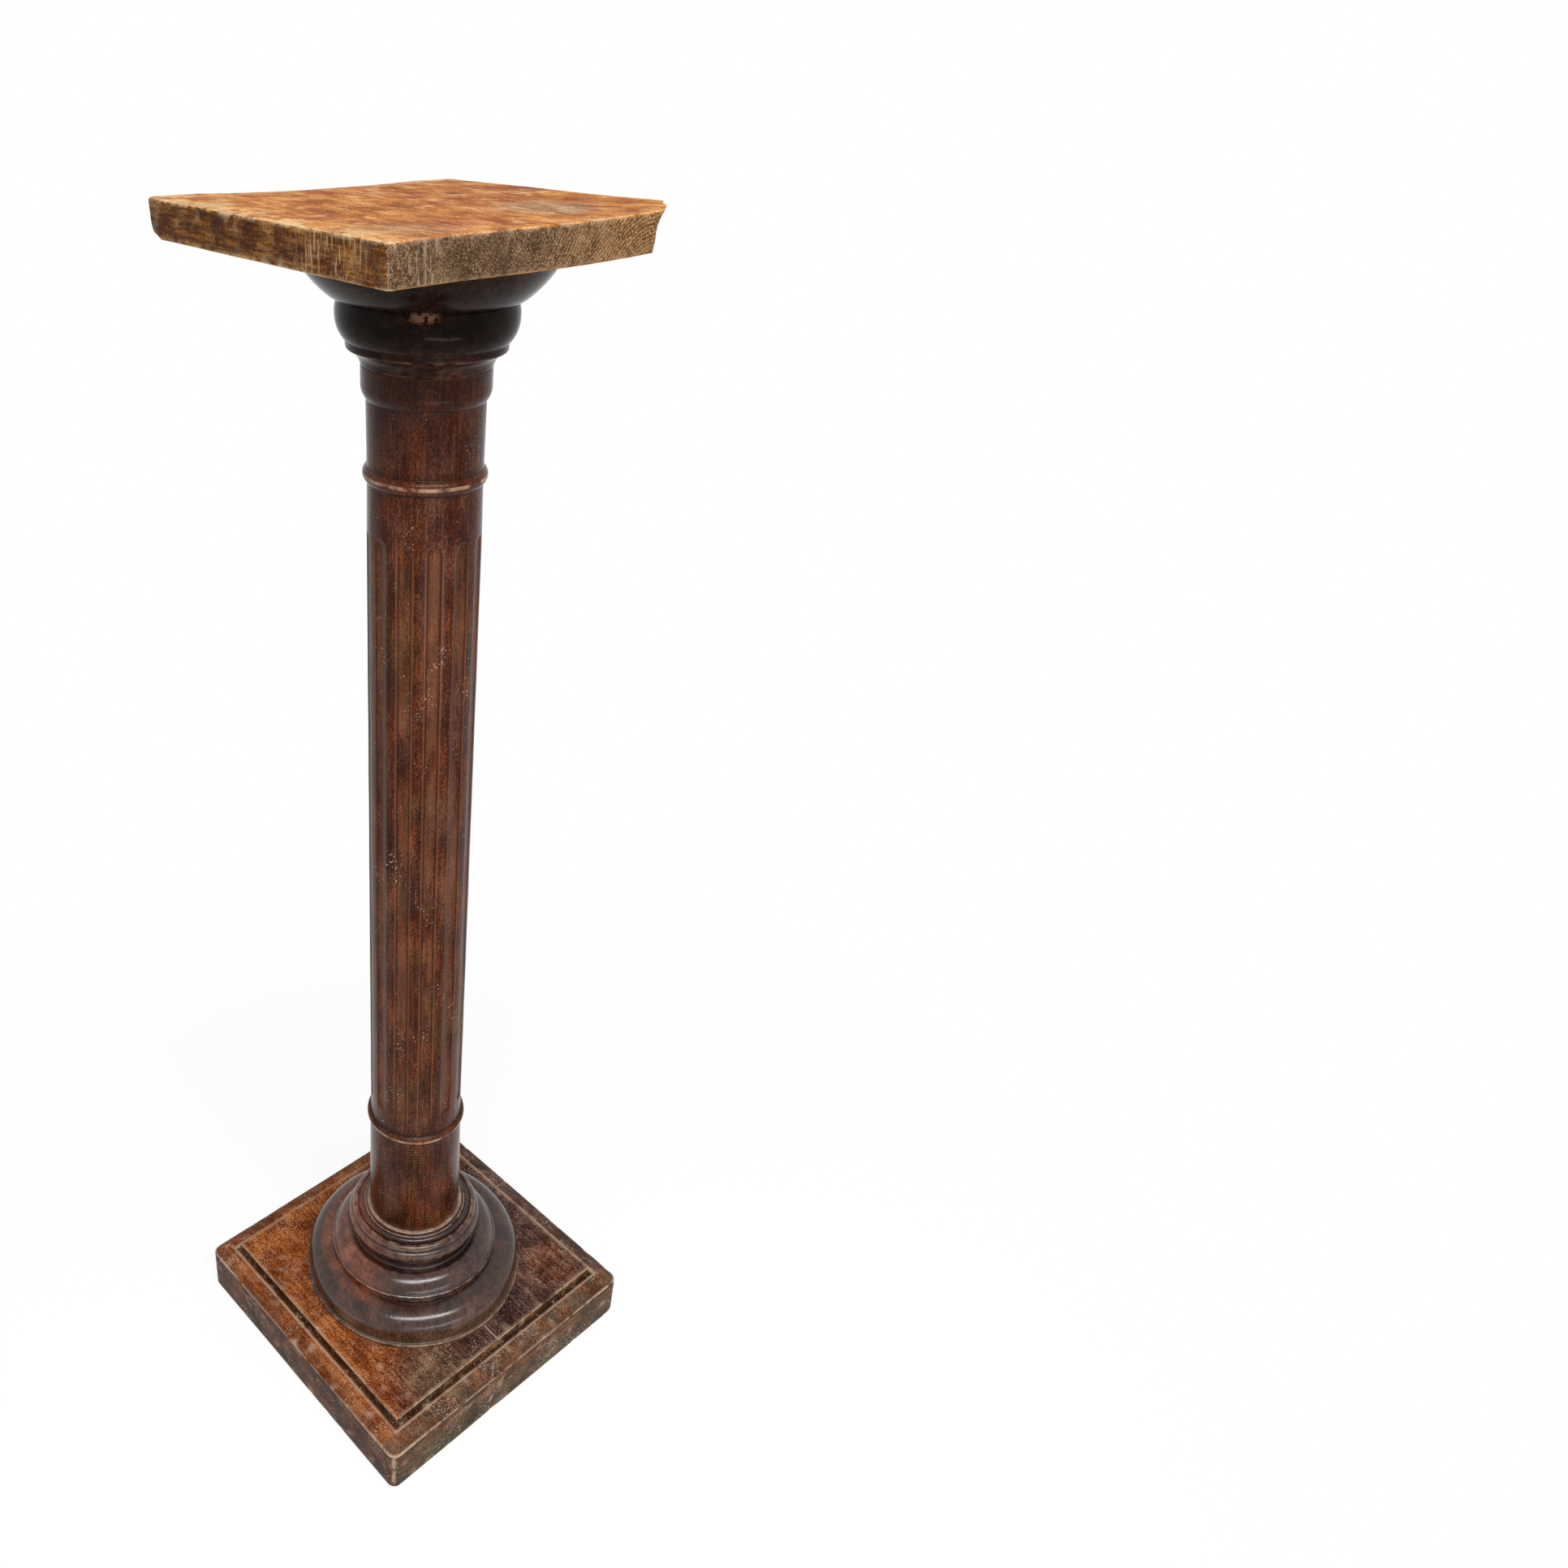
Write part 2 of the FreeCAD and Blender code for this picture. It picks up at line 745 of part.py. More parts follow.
def upright_dowels(label, level):
    """Four dowels with bevelled ends across the joint at a level."""
    body = new_body(label)
    sketch = new_sketch(body, "XZ_Plane")
    axis = size.dowel_circle
    side = axis + size.dowel_radius
    bevel = size.dowel_bevel
    low = level - size.dowel_depth
    top = level + size.dowel_depth
    draw_axis(sketch, axis)
    draw_outline(sketch, [
        (axis, low),
        (side - bevel, low),
        (side, low + bevel),
        (side, top - bevel),
        (side - bevel, top),
        (axis, top),
    ])
    dowel = feature(body, "Revolution", sketch, ReferenceAxis=(sketch, ["Axis0"]), Angle=360.0)
    polar_pattern(body, [dowel], DOWEL_COUNT)
    return body


def screws(label, radius, circle, level, seat, bite):
    """Four slotted countersunk screws, heads down near a level, that bite past the seat."""
    body = new_body(label)
    sketch = new_sketch(body, "XZ_Plane", turn=SCREW_ANGLE)
    head = radius * SCREW_HEAD_RATIO
    low = level + size.screw_inset
    tip = seat + bite
    draw_axis(sketch, circle)
    draw_outline(sketch, [
        (circle, low),
        (circle + head, low),
        (circle + radius, low + head - radius),
        (circle + radius, tip - size.screw_point_length),
        (circle, tip),
    ])
    blank = feature(body, "Revolution", sketch, ReferenceAxis=(sketch, ["Axis0"]), Angle=360.0)
    slot = new_sketch(body, "XY_Plane", low)
    spot = circle * DIAGONAL
    half_slot = radius * SLOT_WIDTH_RATIO / 2
    draw_outline(slot, [
        (spot - head * 2, spot - half_slot),
        (spot + head * 2, spot - half_slot),
        (spot + head * 2, spot + half_slot),
        (spot - head * 2, spot + half_slot),
    ])
    groove = cut(body, "Pocket", slot, Length=radius * SLOT_DEPTH_RATIO, Reversed=True)
    polar_pattern(body, [blank, groove], SCREW_COUNT)
    return body


def base_screws():
    return screws(
        "base_screws", size.base_screw_radius, size.base_screw_circle,
        0.0, CUSHION_SEAT, size.base_screw_bite)


def top_screws():
    return screws(
        "top_screws", size.top_screw_radius, size.top_screw_circle,
        BOWL_SEAT, BOARD_SEAT, size.top_screw_bite)


# Build, check and write -----------------------------------------------------------------


def build_pieces():
    return [
        plinth_plank("plinth_left_plank", -1),
        plinth_plank("plinth_right_plank", 1),
        seam_dowels(),
        base_cushion(),
        base_screws(),
        base_collar(),
        upright_dowels("base_dowels", COLLAR_SEAT),
        shaft(),
        wedge("bottom_tenon_wedge", low_kerf(size.wedge_clearance)),
        capital_ring(),
        upright_dowels("capital_dowels", BOWL_SEAT),
        capital_bowl(),
        wedge("top_tenon_wedge", top_kerf(size.wedge_clearance)),
        top_screws(),
        top_board(),
    ]


def check(pieces):
    doc.recompute()
    for item in doc.Objects:
        if "Invalid" in item.State or "Error" in item.State:
            raise RuntimeError("%s failed: %s" % (item.Label, item.State))
    for piece in pieces:
        if piece.Shape.isNull() or not piece.Shape.isValid() or not piece.Shape.Solids:
            raise RuntimeError("%s has no valid solid" % piece.Label)


def write(pieces):
    os.makedirs("parts", exist_ok=True)
    for piece in pieces:
        piece.Shape.exportStep("parts/%s.step" % piece.Label)
        box = piece.Shape.BoundBox
        print("%-22s solids %d  volume %.1f cm3  x %.1f..%.1f  y %.1f..%.1f  z %.1f..%.1f" % (
            piece.Label, len(piece.Shape.Solids), piece.Shape.Volume / 1000.0,
            box.XMin, box.XMax, box.YMin, box.YMax, box.ZMin, box.ZMax))


pieces = build_pieces()
check(pieces)
write(pieces)
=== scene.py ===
"""Looks of the turned wooden pedestal column stand.

The frame is in metres. The outlines of the turned and moulded pieces are written in
millimetres, as (distance from the axis or the middle, height), and scaled when meshed.
"""

import bmesh
import bpy
import math
from mathutils import Matrix, Vector, noise

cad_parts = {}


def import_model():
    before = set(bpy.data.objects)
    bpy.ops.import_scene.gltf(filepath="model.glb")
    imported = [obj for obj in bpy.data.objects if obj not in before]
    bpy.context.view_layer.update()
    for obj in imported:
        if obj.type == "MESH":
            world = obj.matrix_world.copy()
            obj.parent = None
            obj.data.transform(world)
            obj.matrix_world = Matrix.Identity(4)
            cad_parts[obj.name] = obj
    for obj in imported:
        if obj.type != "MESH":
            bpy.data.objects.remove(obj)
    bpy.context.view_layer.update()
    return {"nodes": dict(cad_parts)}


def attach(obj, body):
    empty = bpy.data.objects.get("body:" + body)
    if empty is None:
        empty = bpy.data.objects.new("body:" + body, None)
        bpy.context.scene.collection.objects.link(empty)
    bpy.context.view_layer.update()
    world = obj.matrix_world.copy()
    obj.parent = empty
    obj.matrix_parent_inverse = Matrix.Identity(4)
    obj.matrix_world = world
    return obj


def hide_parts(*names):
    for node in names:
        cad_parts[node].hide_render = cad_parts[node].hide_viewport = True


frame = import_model()

MM = 0.001
QUARTER = math.pi / 2

# Sizes in millimetres -------------------------------------------------------------------

# heights at which the stacked pieces meet
PLINTH_TOP = 63.0
CUSHION_TOP = 98.5
COLLAR_TOP = 153.0
SHAFT_TOP = 953.0
RING_TOP = 996.5
BOARD_LOW = 1026.0
BOARD_TOP = 1050.0

BORE_RADIUS = 19.15
TENON_RADIUS = 19.0
TENON_LOW = 4.0
TENON_TOP = 1024.0
WEDGE_LENGTH = 28.0
WEDGE_MOUTH = 6.0
WEDGE_TIP = 1.4
KERF_REACH = 25.0

PLINTH_HALF = 148.25
PLINTH_CORNER = 8.0
PLINTH_FOOT = 6.5
PLINTH_LIP = 50.0
PLINTH_CORE = 60.0
BAND_HALF = 130.5
BAND_TOP = 55.5
BAND_BOW = 1.9
QUIRK_FLOOR = 54.0
PANEL_HALF = 126.5
PANEL_CORNER = 1.2
SEAM_EASE = 0.35
SCREW_SPOT = 45.25
SCREW_HOLE_RADIUS = 2.9
SCREW_HEAD_RADIUS = 5.375

FLUTE_COUNT = 12
FLUTE_TURN = 2 * math.pi / FLUTE_COUNT
FLUTE_HALF_WIDTH = 6.0
FLUTE_DEPTH = 1.8
FLUTE_LOW = 303.0
FLUTE_TOP = 834.0
FLUTE_SURFACE = 41.45
FLUTED_FROM = 270.0
FLUTED_TO = 870.0
FLUTE_EASE = 0.22
ARRIS_WEAR = 0.35
LOW_BEAD_FOOT = 268.0
LOW_BEAD_HEAD = 277.0
TOP_BEAD_FOOT = 874.5
TOP_BEAD_HEAD = 885.5

BRUISE_ANGLE = math.radians(-132.0)
BRUISE_HEIGHT = 992.4
BRUISE_HALF_WIDTH = 11.0
BRUISE_HALF_HEIGHT = 3.2
BRUISE_DEPTH = 1.3

BOARD_LEFT = -130.0
BOARD_RIGHT = 127.0
BOARD_NEAR = -118.5
BOARD_FAR = 124.5
BOARD_CORNER = 4.0
CHIP_WIDTH = 41.0
CHIP_LENGTH = 35.0
BOARD_CORE = 115.0
BOARD_EASE = 1.8
BOARD_EASE_BOW = 0.5

# the board's twist, which sets in outside the bowl: its height at the axis, then its slopes
TWIST_LEVEL = 0.66
TWIST_ALONG_X = 0.00156
TWIST_ALONG_Y = -0.0147
TWIST_ALONG_BOTH = -0.0000722
LIFT_FROM = 92.0
LIFT_OVER = 50.0

# the hollow in the board's far edge, the reach of its scuffs, and its softened far-left corner
FAR_WEAR_HALF_LENGTH = 90.0
FAR_WEAR_FROM = 96.0
FAR_WEAR_OVER = 28.0
FAR_WEAR_DEPTH = 2.2
SCUFF_REACH = 9.0
SOFT_CORNER_REACH = 16.0
SOFT_CORNER_PUSH = 1.6
SOFT_CORNER_UNDERCUT = 3.0

# how far hand work pushes a surface in or out, and over what distance
TURNED_PUSH = 0.18
TURNED_WAVE = 45.0
PLINTH_PUSH = 0.25
PLINTH_WAVE = 60.0
KNOCK_WAVE = 9.0
KNOCK_FROM = 0.25
KNOCK_DEPTH = 1.2
KNOCK_REACH = 25.0

# how finely the meshes are drawn: steps in mm, and bends in radians per mm
ARC_STEP = 0.4
FULL_BEND = 0.25
STILL_BENDING = 0.12
LEAST_ROW = 0.5
FLUTE_END_ROW = 0.8
SHAFT_ROW = 6.0

# the wear and painted highlight of an outward corner that bends by a radian per mm, the painted shade of an
# inward one, and the sharpest edge that is shaded smooth
WEAR_PER_TURN = 1.1
SMOOTH_ANGLE = 40.0

# Outlines -------------------------------------------------------------------------------


def arc_points(start, end, bow):
    """Points after the start of an arc that bows out to the right of its way."""
    way = end - start
    half = way.length / 2
    if abs(bow) < 0.001:
        return [end]
    right = Vector((way.y, -way.x)).normalized()
    radius = (half * half + bow * bow) / (2 * abs(bow))
    centre = (start + end) / 2 + right * (bow - math.copysign(radius, bow))
    first = start - centre
    last = end - centre
    sweep = math.atan2(last.y, last.x) - math.atan2(first.y, first.x)
    sweep = (sweep + math.pi) % (2 * math.pi) - math.pi
    steps = max(3, math.ceil(abs(sweep) * radius / ARC_STEP))
    turn = sweep / steps
    return [centre + Matrix.Rotation(turn * step, 2) @ first for step in range(1, steps + 1)]


def drawn(outline):
    """The points of an outline whose entries are (across, up) or (across, up, bow)."""
    points = [Vector(outline[0][:2])]
    for entry in outline[1:]:
        bow = entry[2] if len(entry) == 3 else 0.0
        points += arc_points(points[-1], Vector(entry[:2]), bow)
    return points


def even_steps(points, step):
    """The same line in short, nearly even steps."""
    line = [points[0]]
    for start, end in zip(points, points[1:]):
        count = max(1, round((end - start).length / step))
        line += [start.lerp(end, part / count) for part in range(1, count + 1)]
    return line


def worn_line(outline, step=0.3, passes=5):
    """An outline with its corners worn round: a list of (point, how sharply it turns left)."""
    line = even_steps(drawn(outline), step)
    for _ in range(passes):
        middle = [(a + 2 * b + c) / 4 for a, b, c in zip(line, line[1:], line[2:])]
        line = [line[0]] + middle + [line[-1]]
    turns = [0.0]
    for before, here, after in zip(line, line[1:], line[2:]):
        first = here - before
        second = after - here
        if first.length * second.length > 0.0:
            turns.append(first.angle_signed(second) / -step)
        else:
            turns.append(0.0)
    turns.append(0.0)
    return list(zip(line, turns))


def thinned(line, longest):
    """Drops the points that a nearly straight stretch doesn't need."""
    kept = [line[0]]
    bend = 0.0
    for (point, turn), (_, following) in zip(line[1:-1], line[2:]):
        bend += abs(turn)
        gap = (point - kept[-1][0]).length
        curved = abs(following) > STILL_BENDING and gap > LEAST_ROW
        if bend > FULL_BEND or curved or gap > longest(point.y):
            kept.append((point, turn))
            bend = 0.0
    kept.append(line[-1])
    return kept


# Mesh helpers ---------------------------------------------------------------------------


def object_from(mesh, name):
    """An object in the scene made of a closed mesh, with its faces turned outward."""
    data = bpy.data.meshes.new(name)
    bmesh.ops.recalc_face_normals(mesh, faces=mesh.faces)
    mesh.to_mesh(data)
    mesh.free()
    made = bpy.data.objects.new(name, data)
    bpy.context.collection.objects.link(made)
    return made


def new_piece(name, mesh, slot, *nodes):
    """A finished piece in the scene that stands for its CAD nodes."""
    piece = object_from(mesh, name)
    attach(piece, "root")
    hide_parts(*nodes)
    return piece


def join_rings(mesh, rings, closed_section=True):
    """Quads between rings, and from the last ring back to the first in a closed section."""
    pairs = list(zip(rings, rings[1:]))
    if closed_section:
        pairs.append((rings[-1], rings[0]))
    for low, high in pairs:
        for index in range(len(low)):
            after = (index + 1) % len(low)
            mesh.faces.new((low[index], low[after], high[after], high[index]))


def close_solid(mesh, rings):
    """Joins rings into a solid with a face at each end."""
    join_rings(mesh, rings, closed_section=False)
    mesh.faces.new(rings[0])
    mesh.faces.new(rings[-1])


def wobble(place, spread, amount):
    """A slow push in or out, which makes a surface look worked by hand."""
    return noise.noise(place / spread) * amount


def lathe(outline, columns=192, longest=lambda height: 2.0, shape=None, solid=False):
    """A turned piece. Its outline runs from the floor up, on the right of the axis."""
    line = thinned(worn_line(outline), longest)
    mesh = bmesh.new()
    # two layers: wear with a painted highlight on the outward corners, and painted shade in the inward ones
    worn = mesh.verts.layers.float.new("worn")
    crease_shade = mesh.verts.layers.float.new("crease_shade")
    rings = []
    for point, turn in line:
        ring = []
        for column in range(columns):
            angle = 2 * math.pi * column / columns
            across = Vector((math.cos(angle), math.sin(angle), 0.0))
            place = across * point.x + Vector((0.0, 0.0, point.y))
            push, wear = shape(angle, point) if shape else (0.0, 0.0)
            if point.x > BORE_RADIUS + 1.0:
                push += wobble(place, TURNED_WAVE, TURNED_PUSH)
            vertex = mesh.verts.new((place + across * push) * MM)
            vertex[worn] = max(min(turn * WEAR_PER_TURN, 1.0), 0.0) + wear
            vertex[crease_shade] = max(min(-turn * WEAR_PER_TURN, 1.0), 0.0)
            ring.append(vertex)
        rings.append(ring)
    if solid:
        close_solid(mesh, rings)
    else:
        join_rings(mesh, rings)
    return mesh


def subtract(piece, cutter):
    """Cuts one solid out of a piece for good and removes the cutter."""
    cut = piece.modifiers.new("cut", "BOOLEAN")
    cut.operation = "DIFFERENCE"
    cut.solver = "EXACT"
    cut.object = cutter
    graph = bpy.context.evaluated_depsgraph_get()
    mesh = bpy.data.meshes.new_from_object(piece.evaluated_get(graph))
    piece.modifiers.clear()
    old = piece.data
    piece.data = mesh
    bpy.data.meshes.remove(old)
    bpy.data.objects.remove(cutter)


def round_cutter(outline, x, y, columns=96):
    """A turned solid that cuts a hole at a place in the plan."""
    mesh = bmesh.new()
    rings = []
    for radius, height in outline:
        ring = []
        for column in range(columns):
            angle = 2 * math.pi * column / columns
            place = Vector((x + radius * math.cos(angle), y + radius * math.sin(angle), height))
            ring.append(mesh.verts.new(place * MM))
        rings.append(ring)
    close_solid(mesh, rings)
    return object_from(mesh, "cutter")


# Turned pieces --------------------------------------------------------------------------


def base_cushion():
    """The broad lower roll on its thin foot fillet."""
    mesh = lathe([
        (BORE_RADIUS, PLINTH_TOP),
        (107.0, PLINTH_TOP),
        (107.0, 67.0),
        (104.0, 68.0),
        (105.5, 78.5, 0.4),
        (85.5, CUSHION_TOP, 5.86),
        (BORE_RADIUS, CUSHION_TOP),
    ], columns=256)
    return new_piece("base_cushion_turned", mesh, "base_wood", "base_cushion")


def base_collar():
    """The upper base turning: fillet, ovolo, neck, two beads and the seat of the shaft."""
    mesh = lathe([
        (BORE_RADIUS, CUSHION_TOP),
        (81.5, CUSHION_TOP),
        (81.5, 104.0),
        (80.0, 104.9),
        (66.3, 119.0, 2.4),
        (60.5, 119.4),
        (60.5, 130.0, -1.1),
        (60.5, 142.0, 3.8),
        (56.4, 148.8, 2.1),
        (49.6, 149.4, -2.1),
        (49.6, 151.3),
        (46.5, 151.3),
        (46.5, COLLAR_TOP),
        (BORE_RADIUS, COLLAR_TOP),
    ], columns=224)
    return new_piece("base_collar_turned", mesh, "base_wood", "base_collar")


def flute(angle, point):
    """How far the flutes push the shaft's surface in, and how much wear and painted highlight their arrises
    get.
    """
    if point.x < FLUTE_SURFACE - 3.0 or point.y < FLUTED_FROM or point.y > FLUTED_TO:
        return 0.0, 0.0
    aside = (angle / FLUTE_TURN - round(angle / FLUTE_TURN)) * FLUTE_TURN * FLUTE_SURFACE
    beyond = max(FLUTE_LOW - point.y, point.y - FLUTE_TOP, 0.0)
    off_middle = math.hypot(aside, beyond) / FLUTE_HALF_WIDTH
    depth = FLUTE_DEPTH * (1.0 - off_middle * off_middle)
    cut = 0.5 * (depth + math.sqrt(depth * depth + FLUTE_EASE * FLUTE_EASE))
    # the arris value is painted pale, as wear and a painted highlight
    arris = math.exp(-(depth / ARRIS_WEAR) ** 2)
    return -cut, arris


def shaft_row(height):
    """The longest step between rows, which is short where the flutes end."""
    if min(abs(height - FLUTE_LOW + 4.0), abs(height - FLUTE_TOP - 4.0)) < 9.0:
        return FLUTE_END_ROW
    return SHAFT_ROW


def shaft():
    """The fluted column with its two beads, its neck and a slotted tenon at each end."""
    mesh = lathe([
        (TENON_RADIUS, TENON_LOW),
        (TENON_RADIUS, COLLAR_TOP),
        (43.6, COLLAR_TOP),
        (42.3, LOW_BEAD_FOOT),
        (41.8, LOW_BEAD_HEAD, 3.2),
        (41.1, FLUTE_TOP),
        (40.6, TOP_BEAD_FOOT),
        (40.6, TOP_BEAD_HEAD, 3.2),
        (41.1, 931.0),
        (44.5, 941.0, 1.1),
        (44.5, SHAFT_TOP),
        (TENON_RADIUS, SHAFT_TOP),
        (TENON_RADIUS, TENON_TOP),
    ], columns=288, longest=shaft_row, shape=flute, solid=True)
    piece = new_piece("shaft_turned", mesh, "shaft_wood", "shaft")
    for mouth, way in ((TENON_LOW, 1.0), (TENON_TOP, -1.0)):
        subtract(piece, kerf_cutter(mouth, way))
    return piece


def kerf_cutter(mouth, way):
    """The tapered slot that a wedge sits in."""
    mesh = bmesh.new()
    low = mouth - way
    high = mouth + way * WEDGE_LENGTH
    ring = [(-WEDGE_MOUTH / 2, low), (WEDGE_MOUTH / 2, low), (WEDGE_TIP / 2, high), (-WEDGE_TIP / 2, high)]
    sides = []
    for y in (-KERF_REACH, KERF_REACH):
        sides.append([mesh.verts.new(Vector((x, y, z)) * MM) for x, z in ring])
    close_solid(mesh, sides)
    return object_from(mesh, "cutter")


def ring_bruise(angle, point):
    """The crescent where the capital's roll has lost a chip."""
    aside = BRUISE_ANGLE - angle
    aside = ((aside + math.pi) % (2 * math.pi) - math.pi) * point.x / BRUISE_HALF_WIDTH
    above = (point.y - BRUISE_HEIGHT - 2.0 * aside * aside) / BRUISE_HALF_HEIGHT
    depth = 1.0 - aside * aside - above * above
    if point.x < 50.0 or depth < 0.0:
        return 0.0, 0.0
    return -BRUISE_DEPTH * min(depth * 2.5, 1.0), 0.0


def capital_ring():
    """The cove, small fillet and fat roll under the bowl."""
    mesh = lathe([
        (BORE_RADIUS, SHAFT_TOP),
        (44.5, SHAFT_TOP),
        (54.2, 964.0, -2.0),
        (54.7, 969.5),
        (55.9, 970.1),
        (61.0, 983.5, 1.2),
        (59.0, RING_TOP, 0.8),
        (BORE_RADIUS, RING_TOP),
    ], columns=256, longest=lambda height: 1.2, shape=ring_bruise)
    return new_piece("capital_ring_turned", mesh, "capital_wood", "capital_ring")


def capital_bowl():
    """The flared disc that carries the board."""
    mesh = lathe([
        (BORE_RADIUS, RING_TOP),
        (64.5, RING_TOP),
        (66.0, 997.5),
        (88.5, 1024.8, 2.0),
        (88.5, BOARD_LOW),
        (BORE_RADIUS, BOARD_LOW),
    ])
    return new_piece("capital_bowl_turned", mesh, "capital_wood", "capital_bowl")


# Square pieces --------------------------------------------------------------------------


def square_ring(half_x, half_y, corner, along=3.0, in_corner=6):
    """Points round a rectangle with round corners, anticlockwise from its right side."""
    points = []
    count_x = math.ceil(2 * PLINTH_HALF / along)
    for quarter in range(4):
        turn = Matrix.Rotation(quarter * QUARTER, 2)
        reach, width = (half_x, half_y) if quarter % 2 == 0 else (half_y, half_x)
        start = Vector((reach, corner - width))
        end = Vector((reach, width - corner))
        points += [turn @ start.lerp(end, part / count_x) for part in range(count_x + 1)]
        centre = Vector((reach - corner, width - corner))
        for part in range(1, in_corner):
            around = Matrix.Rotation(QUARTER * part / in_corner, 2) @ Vector((corner, 0.0))
            points.append(turn @ (centre + around))
    return points


def swept(line, half_x, half_y, middle, corner_at, change):
    """A solid whose section runs round a rectangle; the line's first value is the inset."""
    mesh = bmesh.new()
    # two layers: wear with a painted highlight on the outward corners, and painted shade in the inward ones
    worn = mesh.verts.layers.float.new("worn")
    crease_shade = mesh.verts.layers.float.new("crease_shade")
    rings = []
    for point, turn in line:
        inset = point.x
        ring = []
        for spot in square_ring(half_x - inset, half_y - inset, corner_at(inset)):
            place = Vector((middle[0] + spot.x, middle[1] + spot.y, point.y))
            place, wear = change(place, inset)
            vertex = mesh.verts.new(place * MM)
            vertex[worn] = max(min(-turn * WEAR_PER_TURN, 1.0), 0.0) + wear
            vertex[crease_shade] = max(min(turn * WEAR_PER_TURN, 1.0), 0.0)
            ring.append(vertex)
        rings.append(ring)
    close_solid(mesh, rings)
    return mesh


def plinth_corner(inset):
    """The radius of the plinth's upright corners, smaller towards the panel."""
    share = min(inset / (PLINTH_HALF - PANEL_HALF), 1.0)
    return PLINTH_CORNER + (PANEL_CORNER - PLINTH_CORNER) * share


def plinth_wear(place, inset):
    """Small knocks along the plinth's edges."""
    knock = max(noise.noise(place / KNOCK_WAVE) - KNOCK_FROM, 0.0) * KNOCK_DEPTH
    inward = Vector((-place.x, -place.y, 0.0)).normalized()
    push = knock if inset < KNOCK_REACH else 0.0
    if place.z > 1.0:
        place = place + inward * (wobble(place, PLINTH_WAVE, PLINTH_PUSH) + push)
    return place, knock


def plinth_planks():
    """The moulded square plinth, cut at its glued seam into two planks."""
    outline = [
        (PLINTH_CORE, 0.0),
        (PLINTH_FOOT, 0.0),
        (0.0, PLINTH_FOOT, -PLINTH_FOOT * (1.0 - math.cos(QUARTER / 2))),
        (0.0, PLINTH_LIP),
        (PLINTH_HALF - BAND_HALF, BAND_TOP, -BAND_BOW),
        (PLINTH_HALF - BAND_HALF, QUIRK_FLOOR),
        (PLINTH_HALF - PANEL_HALF, QUIRK_FLOOR),
        (PLINTH_HALF - PANEL_HALF, PLINTH_TOP),
        (PLINTH_CORE, PLINTH_TOP),
    ]
    line = thinned(worn_line(outline), lambda height: 3.0)
    whole = swept(line, PLINTH_HALF, PLINTH_HALF, (0.0, 0.0), plinth_corner, plinth_wear)
    pieces = []
    for node, side in (("plinth_left_plank", -1.0), ("plinth_right_plank", 1.0)):
        half = whole.copy()
        everything = half.verts[:] + half.edges[:] + half.faces[:]
        cut = bmesh.ops.bisect_plane(
            half, geom=everything, plane_co=(0.0, 0.0, 0.0), plane_no=(side, 0.0, 0.0), clear_inner=True)
        section = [item for item in cut["geom_cut"] if isinstance(item, bmesh.types.BMEdge)]
        bmesh.ops.contextual_create(half, geom=section)
        bmesh.ops.bevel(half, geom=section, offset=SEAM_EASE * MM, segments=1, affect="EDGES")
        piece = new_piece(node + "_moulded", half, "plinth_wood", node)
        subtract(piece, round_cutter([(BORE_RADIUS, -2.0), (BORE_RADIUS, PLINTH_TOP + 3.0)], 0.0, 0.0))
        for y in (-SCREW_SPOT, SCREW_SPOT):
            hole = [
                (SCREW_HEAD_RADIUS, -1.0),
                (SCREW_HEAD_RADIUS, 1.0),
                (SCREW_HOLE_RADIUS, 1.0 + SCREW_HEAD_RADIUS - SCREW_HOLE_RADIUS),
                (SCREW_HOLE_RADIUS, PLINTH_TOP + 3.0),
            ]
            subtract(piece, round_cutter(hole, side * SCREW_SPOT, y, columns=48))
        pieces.append(piece)
    whole.free()
    return pieces


def board_warp(place, inset):
    """The top board's slight twist, the hollow worn in its far edge and its scuffed edges."""
    from_axis = math.hypot(place.x, place.y)
    lift = max(min((from_axis - LIFT_FROM) / LIFT_OVER, 1.0), 0.0)
    twist = TWIST_LEVEL + TWIST_ALONG_X * place.x + TWIST_ALONG_Y * place.y
    twist += TWIST_ALONG_BOTH * place.x * place.y
    worn_far = max(1.0 - (place.x / FAR_WEAR_HALF_LENGTH) ** 2, 0.0)
    worn_far *= max((place.y - FAR_WEAR_FROM) / FAR_WEAR_OVER, 0.0)
    upper = max((place.z - BOARD_LOW) / (BOARD_TOP - BOARD_LOW), 0.0)
    edge = max(1.0 - inset / SCUFF_REACH, 0.0)
    scuff = (noise.noise(place / 14.0) + 0.5 * noise.noise(place / 5.0)) * 0.5 * edge
    inward = Vector((-place.x, -place.y, 0.0)).normalized()
    from_corner = math.hypot(place.x - BOARD_LEFT, place.y - BOARD_FAR)
    rounded = max(1.0 - from_corner / SOFT_CORNER_REACH, 0.0)
    low = (1.0 - upper) ** 4
    push = max(scuff, -0.3) + rounded * (SOFT_CORNER_PUSH + SOFT_CORNER_UNDERCUT * low)
    up = lift * twist - FAR_WEAR_DEPTH * worn_far * upper + SOFT_CORNER_UNDERCUT * rounded * low
    rise = Vector((0.0, 0.0, up))
    return place + rise + inward * push, max(scuff, 0.0)


